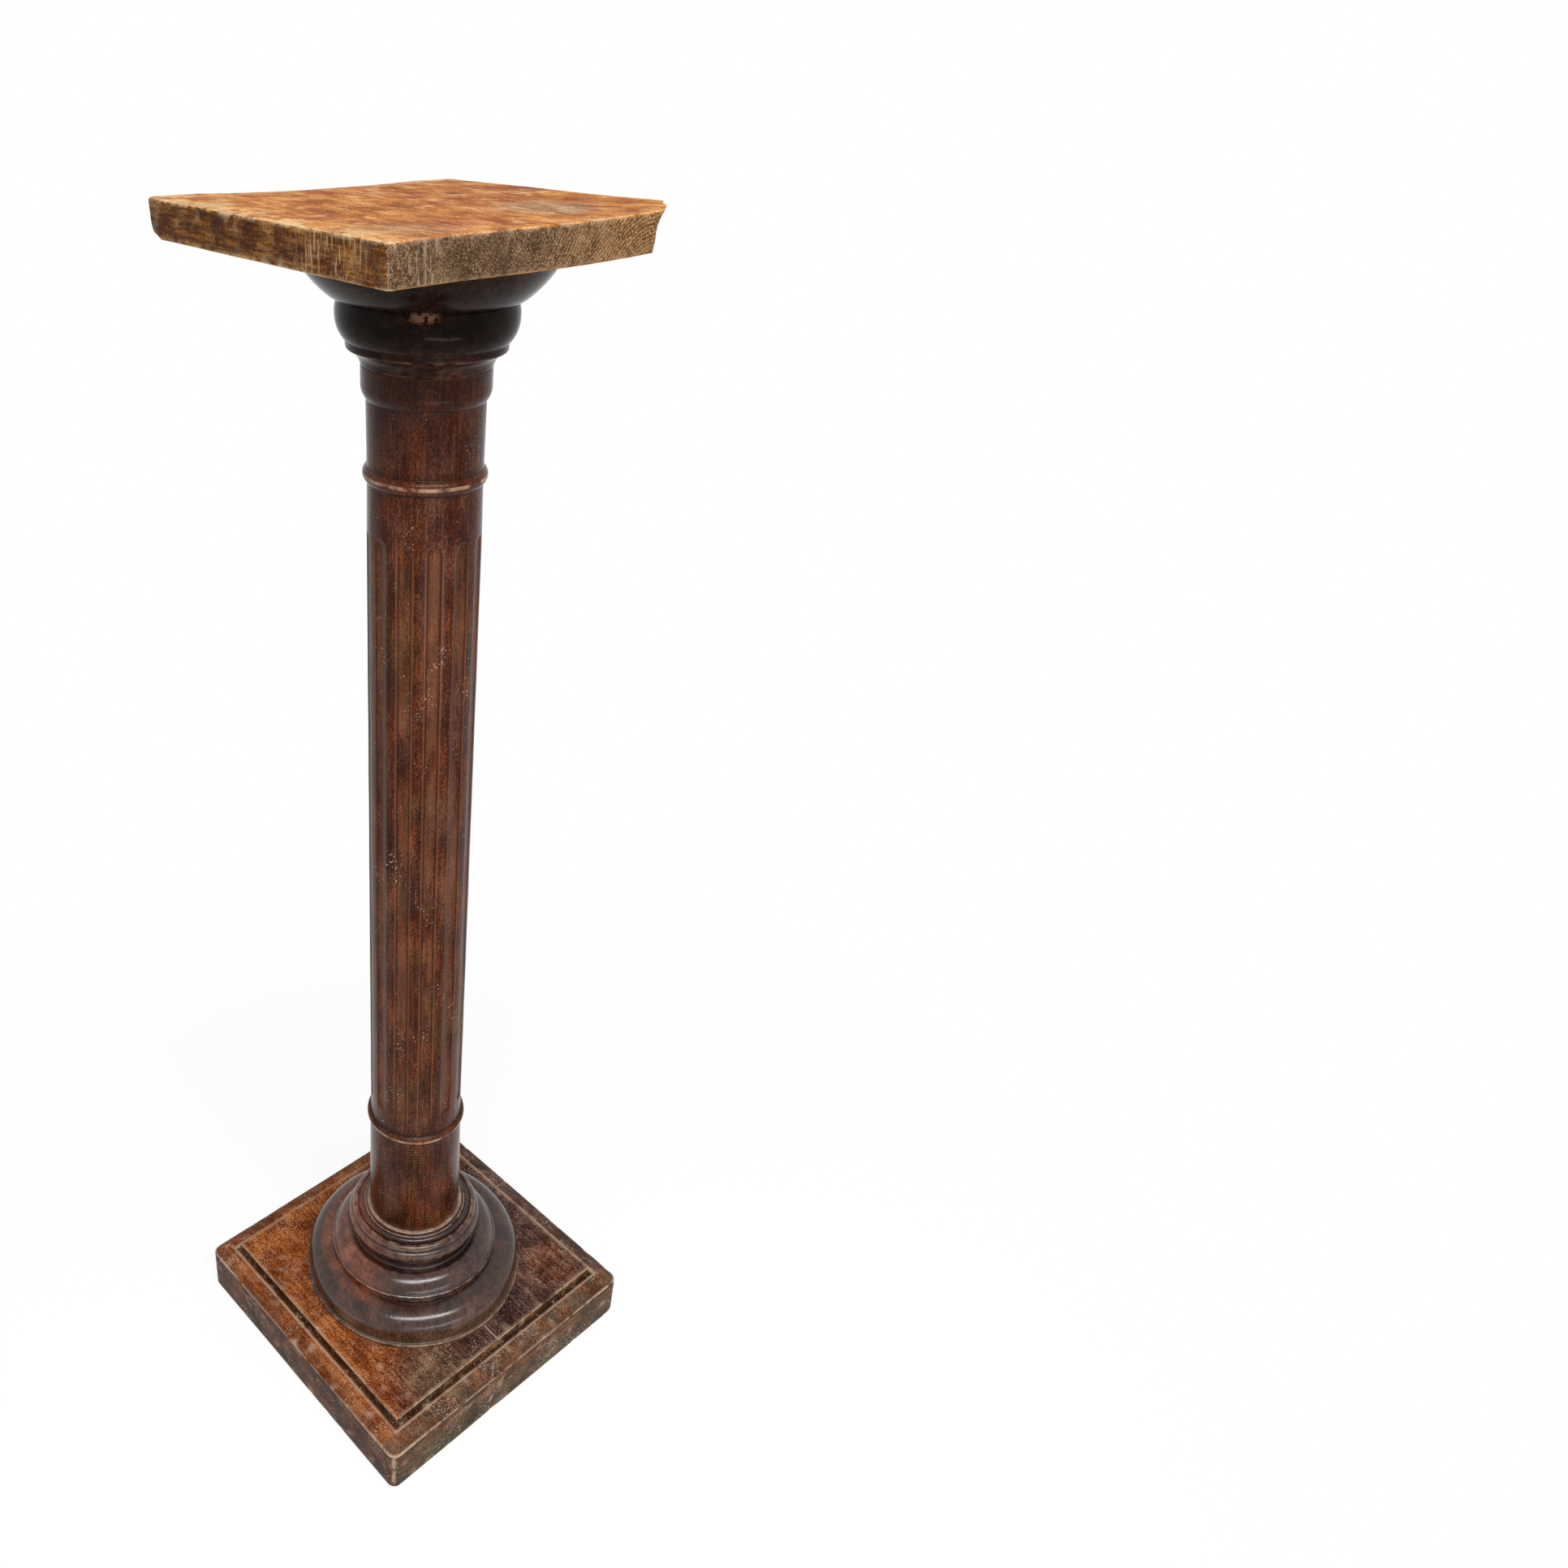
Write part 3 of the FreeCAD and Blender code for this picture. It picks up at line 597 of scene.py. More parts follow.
def broken_corner():
    """The ragged bite that took the board's corner at +X -Y, hollowed under its upper edge."""
    turns = ((0.0, 1.0), (0.30, 0.78), (0.52, 0.44), (0.83, 0.20), (1.0, 0.0))
    hollow = (
        (-6.0, 12.0), (2.0, 11.0), (4.0, 8.5), (13.0, 7.6),
        (19.0, 6.4), (24.0, 3.2), (27.0, 0.0), (33.0, 0.0))
    levels = [Vector(level) for level in hollow]
    mesh = bmesh.new()
    rings = []
    for height, inset in even_steps(levels, 1.5):
        length = CHIP_LENGTH + inset
        width = CHIP_WIDTH + inset
        edge = [(BOARD_RIGHT + 8.0, BOARD_NEAR - 8.0), (BOARD_RIGHT + 8.0, BOARD_NEAR + length)]
        for across, along in even_steps([Vector(turn) for turn in turns], 0.06):
            x = BOARD_RIGHT - width * across
            y = BOARD_NEAR + length * along
            rough = noise.noise(Vector((x / 5.0, y / 12.0, height / 7.0)))
            edge.append((x - rough * 0.6, y + rough))
        edge.append((BOARD_RIGHT - width, BOARD_NEAR - 8.0))
        rings.append([mesh.verts.new(Vector((x, y, BOARD_LOW + height)) * MM) for x, y in edge])
    close_solid(mesh, rings)
    return object_from(mesh, "cutter")


def top_board():
    """The worn board with its broken corner."""
    outline = [
        (BOARD_CORE, BOARD_LOW),
        (BOARD_EASE, BOARD_LOW),
        (0.0, BOARD_LOW + BOARD_EASE, -BOARD_EASE_BOW),
        (0.0, BOARD_TOP - BOARD_EASE),
        (BOARD_EASE, BOARD_TOP, -BOARD_EASE_BOW),
        (BOARD_CORE, BOARD_TOP),
    ]
    line = thinned(worn_line(outline), lambda height: 3.0)
    half_x = (BOARD_RIGHT - BOARD_LEFT) / 2
    half_y = (BOARD_FAR - BOARD_NEAR) / 2
    middle = (BOARD_LEFT + half_x, BOARD_NEAR + half_y)
    mesh = swept(line, half_x, half_y, middle, lambda inset: BOARD_CORNER, board_warp)
    piece = new_piece("top_board_worn", mesh, "board_wood", "top_board")
    subtract(piece, broken_corner())
    return piece


# Materials ------------------------------------------------------------------------------


def paint(red, green, blue):
    """A colour given in the 0 to 255 values of a screen, as linear values."""
    def linear(value):
        value = value / 255.0
        return value / 12.92 if value <= 0.04045 else ((value + 0.055) / 1.055) ** 2.4
    return (linear(red), linear(green), linear(blue), 1.0)


class Recipe:
    """A material's node tree, built up by short calls. Places are in millimetres."""

    def __init__(self, name):
        self.material = bpy.data.materials.new(name)
        self.material.use_nodes = True
        self.tree = self.material.node_tree
        self.shader = self.tree.nodes["Principled BSDF"]
        where = self.tree.nodes.new("ShaderNodeTexCoord").outputs["Object"]
        self.place = self.vector("SCALE", where, 1.0 / MM)
        self.x, self.y, self.z = self.split(self.place)

    def put(self, socket, value):
        """Sets a socket, or links it where the value is another node's output."""
        if isinstance(value, bpy.types.NodeSocket):
            self.tree.links.new(value, socket)
        else:
            socket.default_value = value

    def split(self, vector):
        """The three parts of a vector."""
        node = self.tree.nodes.new("ShaderNodeSeparateXYZ")
        self.put(node.inputs[0], vector)
        return node.outputs

    def vector(self, operation, first, second=(0.0, 0.0, 0.0)):
        """The result of an operation on vectors."""
        node = self.tree.nodes.new("ShaderNodeVectorMath")
        node.operation = operation
        self.put(node.inputs[0], first)
        self.put(node.inputs["Scale"] if operation == "SCALE" else node.inputs[1], second)
        return node.outputs["Value"] if operation == "LENGTH" else node.outputs["Vector"]

    def math(self, operation, first, second=0.0):
        """The result of an operation on numbers."""
        node = self.tree.nodes.new("ShaderNodeMath")
        node.operation = operation
        self.put(node.inputs[0], first)
        self.put(node.inputs[1], second)
        return node.outputs[0]

    def times(self, first, *others):
        """The product of values."""
        for other in others:
            first = self.math("MULTIPLY", first, other)
        return first

    def plus(self, first, *others):
        """The sum of values."""
        for other in others:
            first = self.math("ADD", first, other)
        return first

    def blend(self, *parts):
        """The sum of values, each given with its share."""
        return self.plus(*(self.times(value, share) for value, share in parts))

    def band(self, value, low, high):
        """0 below low and 1 above high, with a soft step; low may be above high."""
        node = self.tree.nodes.new("ShaderNodeMapRange")
        node.interpolation_type = "SMOOTHSTEP"
        self.put(node.inputs["Value"], value)
        if low > high:
            low, high = high, low
            node.inputs["To Min"].default_value = 1.0
            node.inputs["To Max"].default_value = 0.0
        node.inputs["From Min"].default_value = low
        node.inputs["From Max"].default_value = high
        return node.outputs[0]

    def between(self, value, low, high, soft):
        """1 between low and high, fading out over a soft margin outside them."""
        return self.times(self.band(value, low - soft, low), self.band(value, high + soft, high))

    def noise(self, size, detail=4.0, roughness=0.55, stretch=(1.0, 1.0, 1.0), shift=0.0, at=None):
        """Noise whose blobs are about size mm, drawn out by stretch."""
        node = self.tree.nodes.new("ShaderNodeTexNoise")
        spread = tuple(1.0 / (size * part) for part in stretch)
        place = self.vector("MULTIPLY", self.place if at is None else at, spread)
        if shift:
            place = self.vector("ADD", place, (shift, shift * 0.7, shift * 0.3))
        self.put(node.inputs["Vector"], place)
        node.inputs["Scale"].default_value = 1.0
        node.inputs["Detail"].default_value = detail
        node.inputs["Roughness"].default_value = roughness
        return node.outputs["Fac"]

    def patches(self, size, shift, least=0.48, most=0.58, stretch=(1.0, 1.0, 1.0)):
        """A soft mask of irregular patches about size mm across."""
        return self.band(self.noise(size, 4.0, 0.6, stretch, shift), least, most)

    def attribute(self, name):
        """A value that the mesh carries."""
        node = self.tree.nodes.new("ShaderNodeAttribute")
        node.attribute_name = name
        return node.outputs["Fac"]

    def mix(self, factor, first, second):
        """A colour that goes from the first to the second as the factor grows to 1."""
        node = self.tree.nodes.new("ShaderNodeMix")
        node.data_type = "RGBA"
        self.put(node.inputs["Factor"], factor)
        self.put(node.inputs["A"], first)
        self.put(node.inputs["B"], second)
        return node.outputs["Result"]

    def over(self, colour, mask, share, tone):
        """A tone laid over a colour where a mask says, and there only by a share."""
        return self.mix(self.times(mask, share), colour, tone)

    def tones(self, value, dark, middle, light, spread=0.12):
        """Runs between three screen colours, dark to light, as a value of about one half grows."""
        node = self.tree.nodes.new("ShaderNodeValToRGB")
        self.put(node.inputs[0], value)
        elements = node.color_ramp.elements
        elements.new(0.5)
        stops = ((0.5 - spread, dark), (0.5, middle), (0.5 + spread, light))
        for element, (position, colour) in zip(elements, stops):
            element.position = position
            element.color = paint(*colour)
        return node.outputs["Color"]

    def spot(self, x, y, z, reach, ragged=0.0, flat=1.0):
        """1 round a place, falling to 0 at reach mm from it, or sooner up and down if flat."""
        aside = self.vector("SUBTRACT", self.place, (x, y, z))
        away = self.vector("LENGTH", self.vector("MULTIPLY", aside, (1.0, 1.0, flat)))
        if ragged:
            away = self.plus(away, self.times(self.noise(reach / 2, 5.0, 0.65), ragged), -ragged / 2)
        return self.band(away, reach, reach * 0.35)

    def facing(self):
        """The surface's own direction, without its bumps."""
        return self.split(self.tree.nodes.new("ShaderNodeNewGeometry").outputs["True Normal"])

    def around(self, radius):
        """The place moved straight in or out to a radius, so that nothing changes up or out."""
        flat = self.vector("MULTIPLY", self.place, (1.0, 1.0, 0.0))
        return self.vector("SCALE", self.vector("NORMALIZE", flat), radius)

    def finish(self, colour, roughness, height=None, depth=0.0, gloss=0.5):
        """Ends the recipe. A gloss of 0.5 is plain varnish, and less is duller at every angle."""
        self.put(self.shader.inputs["Base Color"], colour)
        self.put(self.shader.inputs["Roughness"], roughness)
        self.shader.inputs["Specular IOR Level"].default_value = gloss
        if height is not None:
            bump = self.tree.nodes.new("ShaderNodeBump")
            bump.inputs["Strength"].default_value = 1.0
            bump.inputs["Distance"].default_value = depth * MM
            self.put(bump.inputs["Height"], height)
            self.put(self.shader.inputs["Normal"], bump.outputs["Normal"])
        return self.material


def left_to_right(wood):
    """How far a place lies to the right of the stand's front corner, in mm."""
    return wood.plus(wood.times(wood.x, 0.745), wood.times(wood.y, -0.667))


def shaft_finish():
    """Red-brown stain under thin varnish, with dusty flutes, painted shade along the flute walls, in the
    creases and towards the top, and the crests of its two beads painted pale in places, as worn varnish and a
    painted highlight.
    """
    wood = Recipe("shaft_varnish")
    streak = wood.noise(2.4, 5.0, 0.66, stretch=(1.0, 1.0, 18.0))
    blotch = wood.noise(18.0, 4.0, 0.6, stretch=(1.0, 1.0, 2.0))
    grit = wood.noise(1.1, 3.0, 0.7, stretch=(1.0, 1.0, 2.0), shift=5.0)
    tone = wood.blend((streak, 0.26), (blotch, 0.30), (grit, 0.44))
    red = wood.tones(tone, (34, 8, 2), (78, 32, 13), (128, 70, 40), 0.10)
    olive = wood.tones(tone, (30, 12, 2), (70, 36, 14), (114, 74, 42), 0.10)
    purple = wood.tones(tone, (28, 8, 4), (70, 34, 22), (112, 70, 54), 0.10)
    colour = wood.mix(wood.patches(24.0, 11.0, stretch=(1.0, 1.0, 2.0)), red, olive)
    colour = wood.over(colour, wood.patches(26.0, 23.0, stretch=(1.0, 1.0, 2.0)), 0.8, purple)
    turns = wood.times(wood.math("ARCTAN2", wood.y, wood.x), 1.0 / FLUTE_TURN)
    aside = wood.math("FRACT", wood.plus(turns, 0.5))
    aside = wood.times(wood.plus(aside, -0.5), FLUTE_TURN * FLUTE_SURFACE)
    fluted = wood.between(wood.z, FLUTE_LOW - 3.0, FLUTE_TOP - 9.0, 18.0)
    hollow = wood.times(wood.between(aside, -3.6, 3.6, 2.4), fluted)
    dusty = wood.times(hollow, wood.band(wood.noise(20.0, 4.0, 0.6, stretch=(1.0, 1.0, 4.0)), 0.40, 0.62))
    colour = wood.over(colour, dusty, 0.32, paint(128, 86, 58))
    off_middle = wood.math("ABSOLUTE", aside)
    # painted shade: a dark line along both walls of each flute
    edge = wood.times(wood.between(off_middle, 4.4, 5.3, 0.7), fluted)
    colour = wood.over(colour, edge, 0.6, paint(32, 10, 5))
    # the flute arrises are painted pale: wear and a painted highlight
    arris = wood.times(wood.between(off_middle, 5.9, 6.5, 0.4), fluted)
    colour = wood.over(colour, arris, 0.35, paint(138, 88, 60))
    clusters = wood.patches(16.0, 41.0, 0.56, 0.62, stretch=(1.0, 1.0, 2.0))
    specks = wood.times(wood.band(wood.noise(1.5, 2.0, 0.5, shift=3.0), 0.64, 0.68), clusters)
    colour = wood.over(colour, specks, 0.85, paint(206, 178, 152))
    # painted shade: the shaft darkens towards its top, under the capital
    colour = wood.over(colour, wood.band(wood.z, 815.0, 950.0), 0.60, paint(26, 9, 5))
    rings = wood.math("SINE", wood.times(wood.z, 1.8))
    turned = wood.times(wood.between(wood.z, 238.0, 262.0, 8.0), wood.band(rings, 0.2, 0.9))
    colour = wood.over(colour, turned, 0.55, paint(26, 9, 5))
    # the bead crests are painted pale in broken lines: worn varnish and a painted highlight
    beads = wood.plus(wood.between(wood.z, 271.4, 273.0, 1.0), wood.between(wood.z, 879.4, 880.8, 1.0))
    rubbed_and_highlight = wood.times(beads, wood.band(wood.noise(14.0, 4.0, 0.6, shift=7.0), 0.36, 0.60))
    colour = wood.over(colour, rubbed_and_highlight, 0.75, paint(196, 156, 130))
    # pale outward corners are wear and a painted highlight; the dark inward corners are painted shade
    colour = wood.over(colour, wood.attribute("worn"), 0.3, paint(124, 74, 48))
    colour = wood.over(colour, wood.attribute("crease_shade"), 0.85, paint(20, 8, 5))
    height = wood.blend((streak, 1.0), (grit, 0.5), (turned, -0.6))
    return wood.finish(colour, wood.blend((dusty, 0.2), (grit, 0.2), (1.0, 0.10)), height, 0.14, gloss=0.10)


def base_finish():
    """Dark gloss varnish over brown wood, redder on the left, with fine scratches down the rolls, painted
    shade in the neck and the inward corners, and pale edges that are wear and a painted highlight.
    """
    wood = Recipe("base_varnish")
    grain = wood.noise(3.0, 5.0, 0.66, stretch=(1.0, 6.0, 1.0))
    blotch = wood.noise(24.0, 4.0, 0.6)
    grit = wood.noise(1.2, 3.0, 0.7)
    scratch = wood.noise(1.1, 3.0, 0.6, at=wood.around(80.0))
    tone = wood.blend((grain, 0.25), (blotch, 0.30), (grit, 0.30), (scratch, 0.15))
    dark = wood.tones(tone, (18, 7, 5), (50, 24, 17), (92, 58, 46), 0.10)
    red = wood.tones(tone, (44, 13, 6), (106, 48, 26), (158, 100, 70), 0.10)
    brown = wood.tones(tone, (42, 24, 12), (86, 60, 40), (134, 106, 82), 0.10)
    side = wood.plus(left_to_right(wood), wood.times(blotch, 60.0), -30.0)
    above_cushion = wood.between(wood.z, 98.0, 160.0, 2.0)
    colour = wood.mix(wood.times(wood.band(side, -18.0, -50.0), above_cushion), dark, red)
    foot = wood.times(wood.band(wood.z, 88.0, 76.0), wood.band(side, -100.0, -50.0))
    colour = wood.over(colour, foot, 0.75, brown)
    broken = wood.band(wood.noise(9.0, 3.0, 0.6), 0.38, 0.6)
    # the collar's top rim is painted pale: wear and a painted highlight
    seat = wood.times(wood.band(wood.z, 151.8, 152.6), wood.plus(wood.times(broken, 0.4), 0.3))
    colour = wood.mix(seat, colour, paint(190, 160, 138))
    # pale outward corners: wear and a painted highlight
    colour = wood.over(colour, wood.times(wood.attribute("worn"), broken), 0.7, paint(186, 148, 122))
    # painted shade: the inward corners above the cushion's foot are painted nearly black
    groove_shade = wood.times(wood.attribute("crease_shade"), wood.band(wood.z, 74.0, 78.0))
    colour = wood.over(colour, groove_shade, 0.9, paint(10, 5, 4))
    # painted shade: the neck under the lower bead is painted darker
    neck = wood.between(wood.z, 119.2, 129.8, 0.6)
    colour = wood.over(colour, neck, 0.5, paint(16, 7, 5))
    roughness = wood.blend((scratch, 0.24), (blotch, 0.16))
    height = wood.blend((blotch, 1.0), (grit, 0.35), (scratch, 0.45))
    return wood.finish(colour, roughness, height, 0.16, gloss=0.45)


def capital_finish():
    """Nearly black, smooth and weakly shining varnish, browner at top and foot, with a bare chip."""
    wood = Recipe("capital_varnish")
    grain = wood.noise(4.0, 4.0, 0.62, stretch=(1.0, 8.0, 1.0))
    blotch = wood.noise(26.0, 4.0, 0.6)
    grit = wood.noise(1.0, 3.0, 0.7)
    tone = wood.blend((grain, 0.40), (blotch, 0.35), (grit, 0.25))
    black = wood.tones(tone, (9, 3, 2), (19, 8, 6), (50, 27, 21))
    brown = wood.tones(tone, (22, 10, 7), (44, 24, 17), (84, 54, 40))
    ends = wood.plus(wood.band(wood.z, 976.0, 962.0), wood.times(wood.band(wood.z, 1002.0, 1014.0), 0.5))
    colour = wood.mix(ends, black, brown)
    broken = wood.band(wood.noise(9.0, 3.0, 0.6), 0.40, 0.62)
    # pale outward corners: wear and a painted highlight
    colour = wood.over(colour, wood.times(wood.attribute("worn"), broken), 0.6, paint(140, 104, 84))
    bare = wood.spot(-40.9, -43.8, 992.6, 12.5, ragged=3.0, flat=2.8)
    bare = wood.times(bare, wood.band(wood.noise(4.0, 3.0, 0.6, shift=4.0), 0.40, 0.52))
    colour = wood.over(colour, bare, 0.85, paint(170, 124, 98))
    roughness = wood.blend((bare, 0.4), (blotch, 0.12), (1.0, 0.10))
    height = wood.blend((blotch, 1.0), (grain, 0.3))
    return wood.finish(colour, roughness, height, 0.12, gloss=0.06)


def plinth_finish():
    """Worn speckled stain: orange-red on the left, red-brown in front, purple-brown on the right.

    The convex band of the near side is the only one with grey and rusty patches. The groove round the panel
    and the band's outer part carry painted shade, and the edges pale lines of wear and painted highlight.
    """
    wood = Recipe("plinth_stain")
    grain = wood.noise(2.6, 5.0, 0.62, stretch=(1.0, 14.0, 1.0))
    blotch = wood.noise(30.0, 4.0, 0.55)
    grit = wood.noise(1.3, 3.0, 0.75)
    tone = wood.blend((grain, 0.22), (blotch, 0.28), (grit, 0.50))
    orange = wood.tones(tone, (70, 24, 6), (138, 66, 26), (206, 134, 78), 0.085)
    red = wood.tones(tone, (48, 18, 10), (108, 58, 40), (176, 122, 94), 0.085)
    purple = wood.tones(tone, (28, 14, 12), (72, 47, 41), (136, 104, 92), 0.085)
    grey = wood.tones(tone, (44, 32, 20), (92, 72, 56), (146, 122, 98), 0.085)
    drift = wood.times(wood.plus(wood.noise(44.0, 3.0, 0.5, shift=9.0), -0.5), 110.0)
    side = wood.plus(left_to_right(wood), drift)
    colour = wood.mix(wood.band(side, -40.0, 10.0), orange, red)
    colour = wood.mix(wood.band(side, 20.0, 60.0), colour, purple)
    colour = wood.over(colour, wood.spot(-66.0, -112.0, PLINTH_TOP, 50.0, ragged=24.0), 0.65, grey)
    colour = wood.over(colour, wood.spot(100.0, -98.0, PLINTH_TOP, 40.0, ragged=20.0), 0.7, red)
    across, along, up = (wood.math("ABSOLUTE", part) for part in wood.facing())
    upright = wood.band(up, 0.55, 0.25)
    streaks = wood.band(wood.noise(5.0, 4.0, 0.6, stretch=(8.0, 1.0, 1.0), shift=2.0), 0.48, 0.58)
    rust = wood.tones(tone, (60, 26, 10), (120, 64, 32), (184, 128, 84), 0.085)
    dull = wood.tones(tone, (30, 19, 10), (72, 53, 38), (128, 104, 82), 0.085)
    green = wood.tones(tone, (26, 22, 10), (66, 57, 38), (116, 104, 78), 0.085)
    end_grain = wood.mix(wood.patches(34.0, 51.0, stretch=(2.0, 1.0, 1.0)), dull, green)
    end_grain = wood.mix(wood.times(streaks, wood.band(wood.z, 22.0, 42.0)), end_grain, rust)
    near = wood.times(upright, wood.band(along, 0.6, 0.85))
    colour = wood.mix(near, colour, end_grain)
    long_side = wood.tones(tone, (30, 14, 7), (76, 43, 30), (132, 94, 72), 0.085)
    long_side = wood.mix(wood.band(wood.z, 20.0, 6.0), long_side, dull)
    far = wood.times(upright, wood.band(across, 0.6, 0.85))
    colour = wood.mix(far, colour, long_side)
    sides = [wood.math("ABSOLUTE", part) for part in (wood.x, wood.y)]
    out = wood.math("MAXIMUM", *sides)
    # painted shade: the groove round the raised panel is painted dark
    quirk_shade = wood.times(wood.between(out, 126.7, 130.1, 0.5), wood.band(wood.z, 62.8, 61.8))
    colour = wood.over(colour, quirk_shade, 0.82, paint(46, 26, 14))
    broken = wood.band(wood.noise(12.0, 3.0, 0.6, shift=6.0), 0.30, 0.58)
    pale_band = wood.mix(wood.patches(20.0, 61.0), grey, rust)
    near_band = wood.times(wood.band(wood.y, -131.0, -133.0), wood.band(up, 0.25, 0.55))
    colour = wood.over(colour, near_band, 0.65, pale_band)
    # the inner edge of the convex band is painted pale: wear and a painted highlight
    crest_wear_and_highlight = wood.times(wood.between(out, BAND_HALF, 131.6, 2.0), wood.band(wood.z, 51.0, 54.6))
    bare = wood.plus(wood.times(broken, 0.4), 0.3)
    colour = wood.mix(wood.times(crest_wear_and_highlight, bare), colour, paint(214, 172, 144))
    # painted shade: the outer part of the convex band and its lip are painted darker
    lip_height = wood.between(wood.z, PLINTH_LIP - 5.0, PLINTH_LIP + 5.0, 2.0)
    lip = wood.times(wood.band(out, 134.0, 147.5), lip_height)
    colour = wood.over(colour, lip, 0.5, paint(52, 24, 14))
    # the upright corners and the lip's edge towards them are painted pale in broken lines: wear and a painted
    # highlight
    inner = wood.math("MINIMUM", *sides)
    corners = wood.times(wood.band(inner, 143.6, 145.4), wood.between(wood.z, 10.0, 46.0, 6.0))
    lip_wear_and_highlight = wood.times(wood.between(wood.z, 49.0, 50.6, 0.8), wood.band(inner, 70.0, 130.0))
    rubbed_and_highlight = wood.times(wood.plus(corners, lip_wear_and_highlight), broken)
    colour = wood.over(colour, rubbed_and_highlight, 0.6, paint(206, 178, 152))
    specks = wood.times(wood.band(wood.noise(1.4, 2.0, 0.5, shift=3.0), 0.60, 0.64), wood.patches(24.0, 71.0))
    colour = wood.over(colour, specks, 0.75, paint(214, 190, 168))
    # pale outward corners and knocks: wear and a painted highlight
    colour = wood.over(colour, wood.times(wood.attribute("worn"), broken), 0.8, paint(208, 174, 148))
    seam = wood.times(wood.between(wood.x, -0.6, 0.6, 0.4), wood.band(wood.z, 62.0, 62.5))
    colour = wood.over(colour, seam, 0.7, paint(196, 170, 148))
    height = wood.blend((grain, 0.6), (grit, 0.8), (blotch, 0.8))
    return wood.finish(colour, wood.blend((blotch, 0.25), (1.0, 0.35)), height, 0.35, gloss=0.05)


def board_finish():
    """Bare orange-brown top with cream scuffs, grey-brown end grain and dark long sides."""
    wood = Recipe("board_bare")
    grain = wood.noise(2.6, 6.0, 0.68, stretch=(1.0, 9.0, 1.0))
    blotch = wood.noise(16.0, 5.0, 0.62, stretch=(1.0, 1.6, 1.0))
    grit = wood.noise(1.3, 3.0, 0.75)
    tone = wood.blend((grain, 0.36), (blotch, 0.34), (grit, 0.30))
    orange = wood.tones(tone, (140, 66, 14), (194, 116, 46), (240, 182, 108), 0.075)
    brown = wood.tones(tone, (110, 52, 12), (172, 96, 36), (220, 152, 84), 0.075)
    red = wood.tones(tone, (122, 52, 16), (180, 100, 48), (228, 162, 106), 0.075)
    grey = wood.tones(tone, (120, 80, 48), (178, 134, 96), (218, 182, 146), 0.075)
    top = wood.mix(wood.patches(38.0, 13.0), orange, brown)
    top = wood.mix(wood.patches(44.0, 19.0, 0.52, 0.60), top, red)
    top = wood.over(top, wood.spot(54.0, -52.0, BOARD_TOP, 46.0, ragged=24.0), 0.9, grey)
    top = wood.over(top, wood.spot(-88.0, -84.0, BOARD_TOP, 44.0, ragged=24.0), 0.5, grey)
    from_left = wood.plus(wood.x, -BOARD_LEFT)
    from_far = wood.plus(BOARD_FAR, wood.times(wood.y, -1.0))
    rim = wood.math("MINIMUM", from_left, from_far)
    scuffs = wood.times(wood.band(rim, 36.0, 4.0), wood.patches(15.0, 31.0, 0.45, 0.56))
    scuffs = wood.plus(scuffs, wood.times(wood.patches(19.0, 37.0, 0.58, 0.66), 0.6))
    top = wood.over(top, scuffs, 0.65, paint(248, 210, 156))
    long_side = wood.tones(tone, (36, 14, 3), (86, 45, 14), (168, 118, 68), 0.085)
    ochre = wood.tones(tone, (48, 21, 2), (100, 55, 14), (172, 120, 60), 0.085)
    long_side = wood.mix(wood.patches(22.0, 17.0), long_side, ochre)
    upright = wood.noise(2.4, 4.0, 0.6, stretch=(1.0, 1.0, 9.0), shift=8.0)
    marked = wood.times(wood.band(upright, 0.55, 0.62), wood.between(wood.y, -86.0, -56.0, 24.0))
    long_side = wood.over(long_side, marked, 0.6, paint(204, 172, 136))
    below = wood.vector("SUBTRACT", wood.place, (96.0, 0.0, 978.0))
    away = wood.vector("LENGTH", wood.vector("MULTIPLY", below, (1.0, 0.0, 1.0)))
    wavy = wood.plus(wood.times(away, 1.0 / 2.3), wood.times(wood.noise(26.0, 2.0, 0.5), 3.0))
    ring = wood.band(wood.math("SINE", wood.times(wavy, 2 * math.pi)), -0.6, 0.9)
    clear = wood.plus(wood.times(wood.band(wood.x, -60.0, 30.0), 0.06), 0.01)
    speckled = wood.plus(wood.blend((grit, 0.70), (blotch, 0.24)), wood.times(ring, clear))
    end = wood.tones(speckled, (50, 35, 22), (101, 75, 52), (160, 130, 102), 0.10)
    warm_end = wood.tones(speckled, (62, 36, 12), (116, 80, 44), (178, 138, 92), 0.10)
    end = wood.mix(wood.band(wood.x, -50.0, 90.0), end, warm_end)
    marked = wood.times(wood.band(upright, 0.52, 0.62), wood.band(wood.x, -82.0, -108.0))
    end = wood.over(end, marked, 0.5, paint(186, 160, 136))
    along, up = (wood.math("ABSOLUTE", part) for part in wood.facing()[1:])
    colour = wood.mix(wood.band(along, 0.5, 0.8), long_side, end)
    colour = wood.mix(wood.band(up, 0.45, 0.8), colour, top)
    # pale outward corners and scuffs: wear and a painted highlight
    broken = wood.band(wood.noise(7.0, 3.0, 0.6, shift=6.0), 0.38, 0.62)
    bare = wood.plus(wood.times(wood.band(along, 0.6, 0.2), 0.45), 0.3)
    rubbed_and_highlight = wood.times(wood.attribute("worn"), broken, bare)
    colour = wood.mix(rubbed_and_highlight, colour, paint(232, 200, 156))
    height = wood.blend((grain, 0.8), (grit, 0.6), (blotch, 0.6))
    return wood.finish(colour, 0.62, height, 0.5, gloss=0.10)


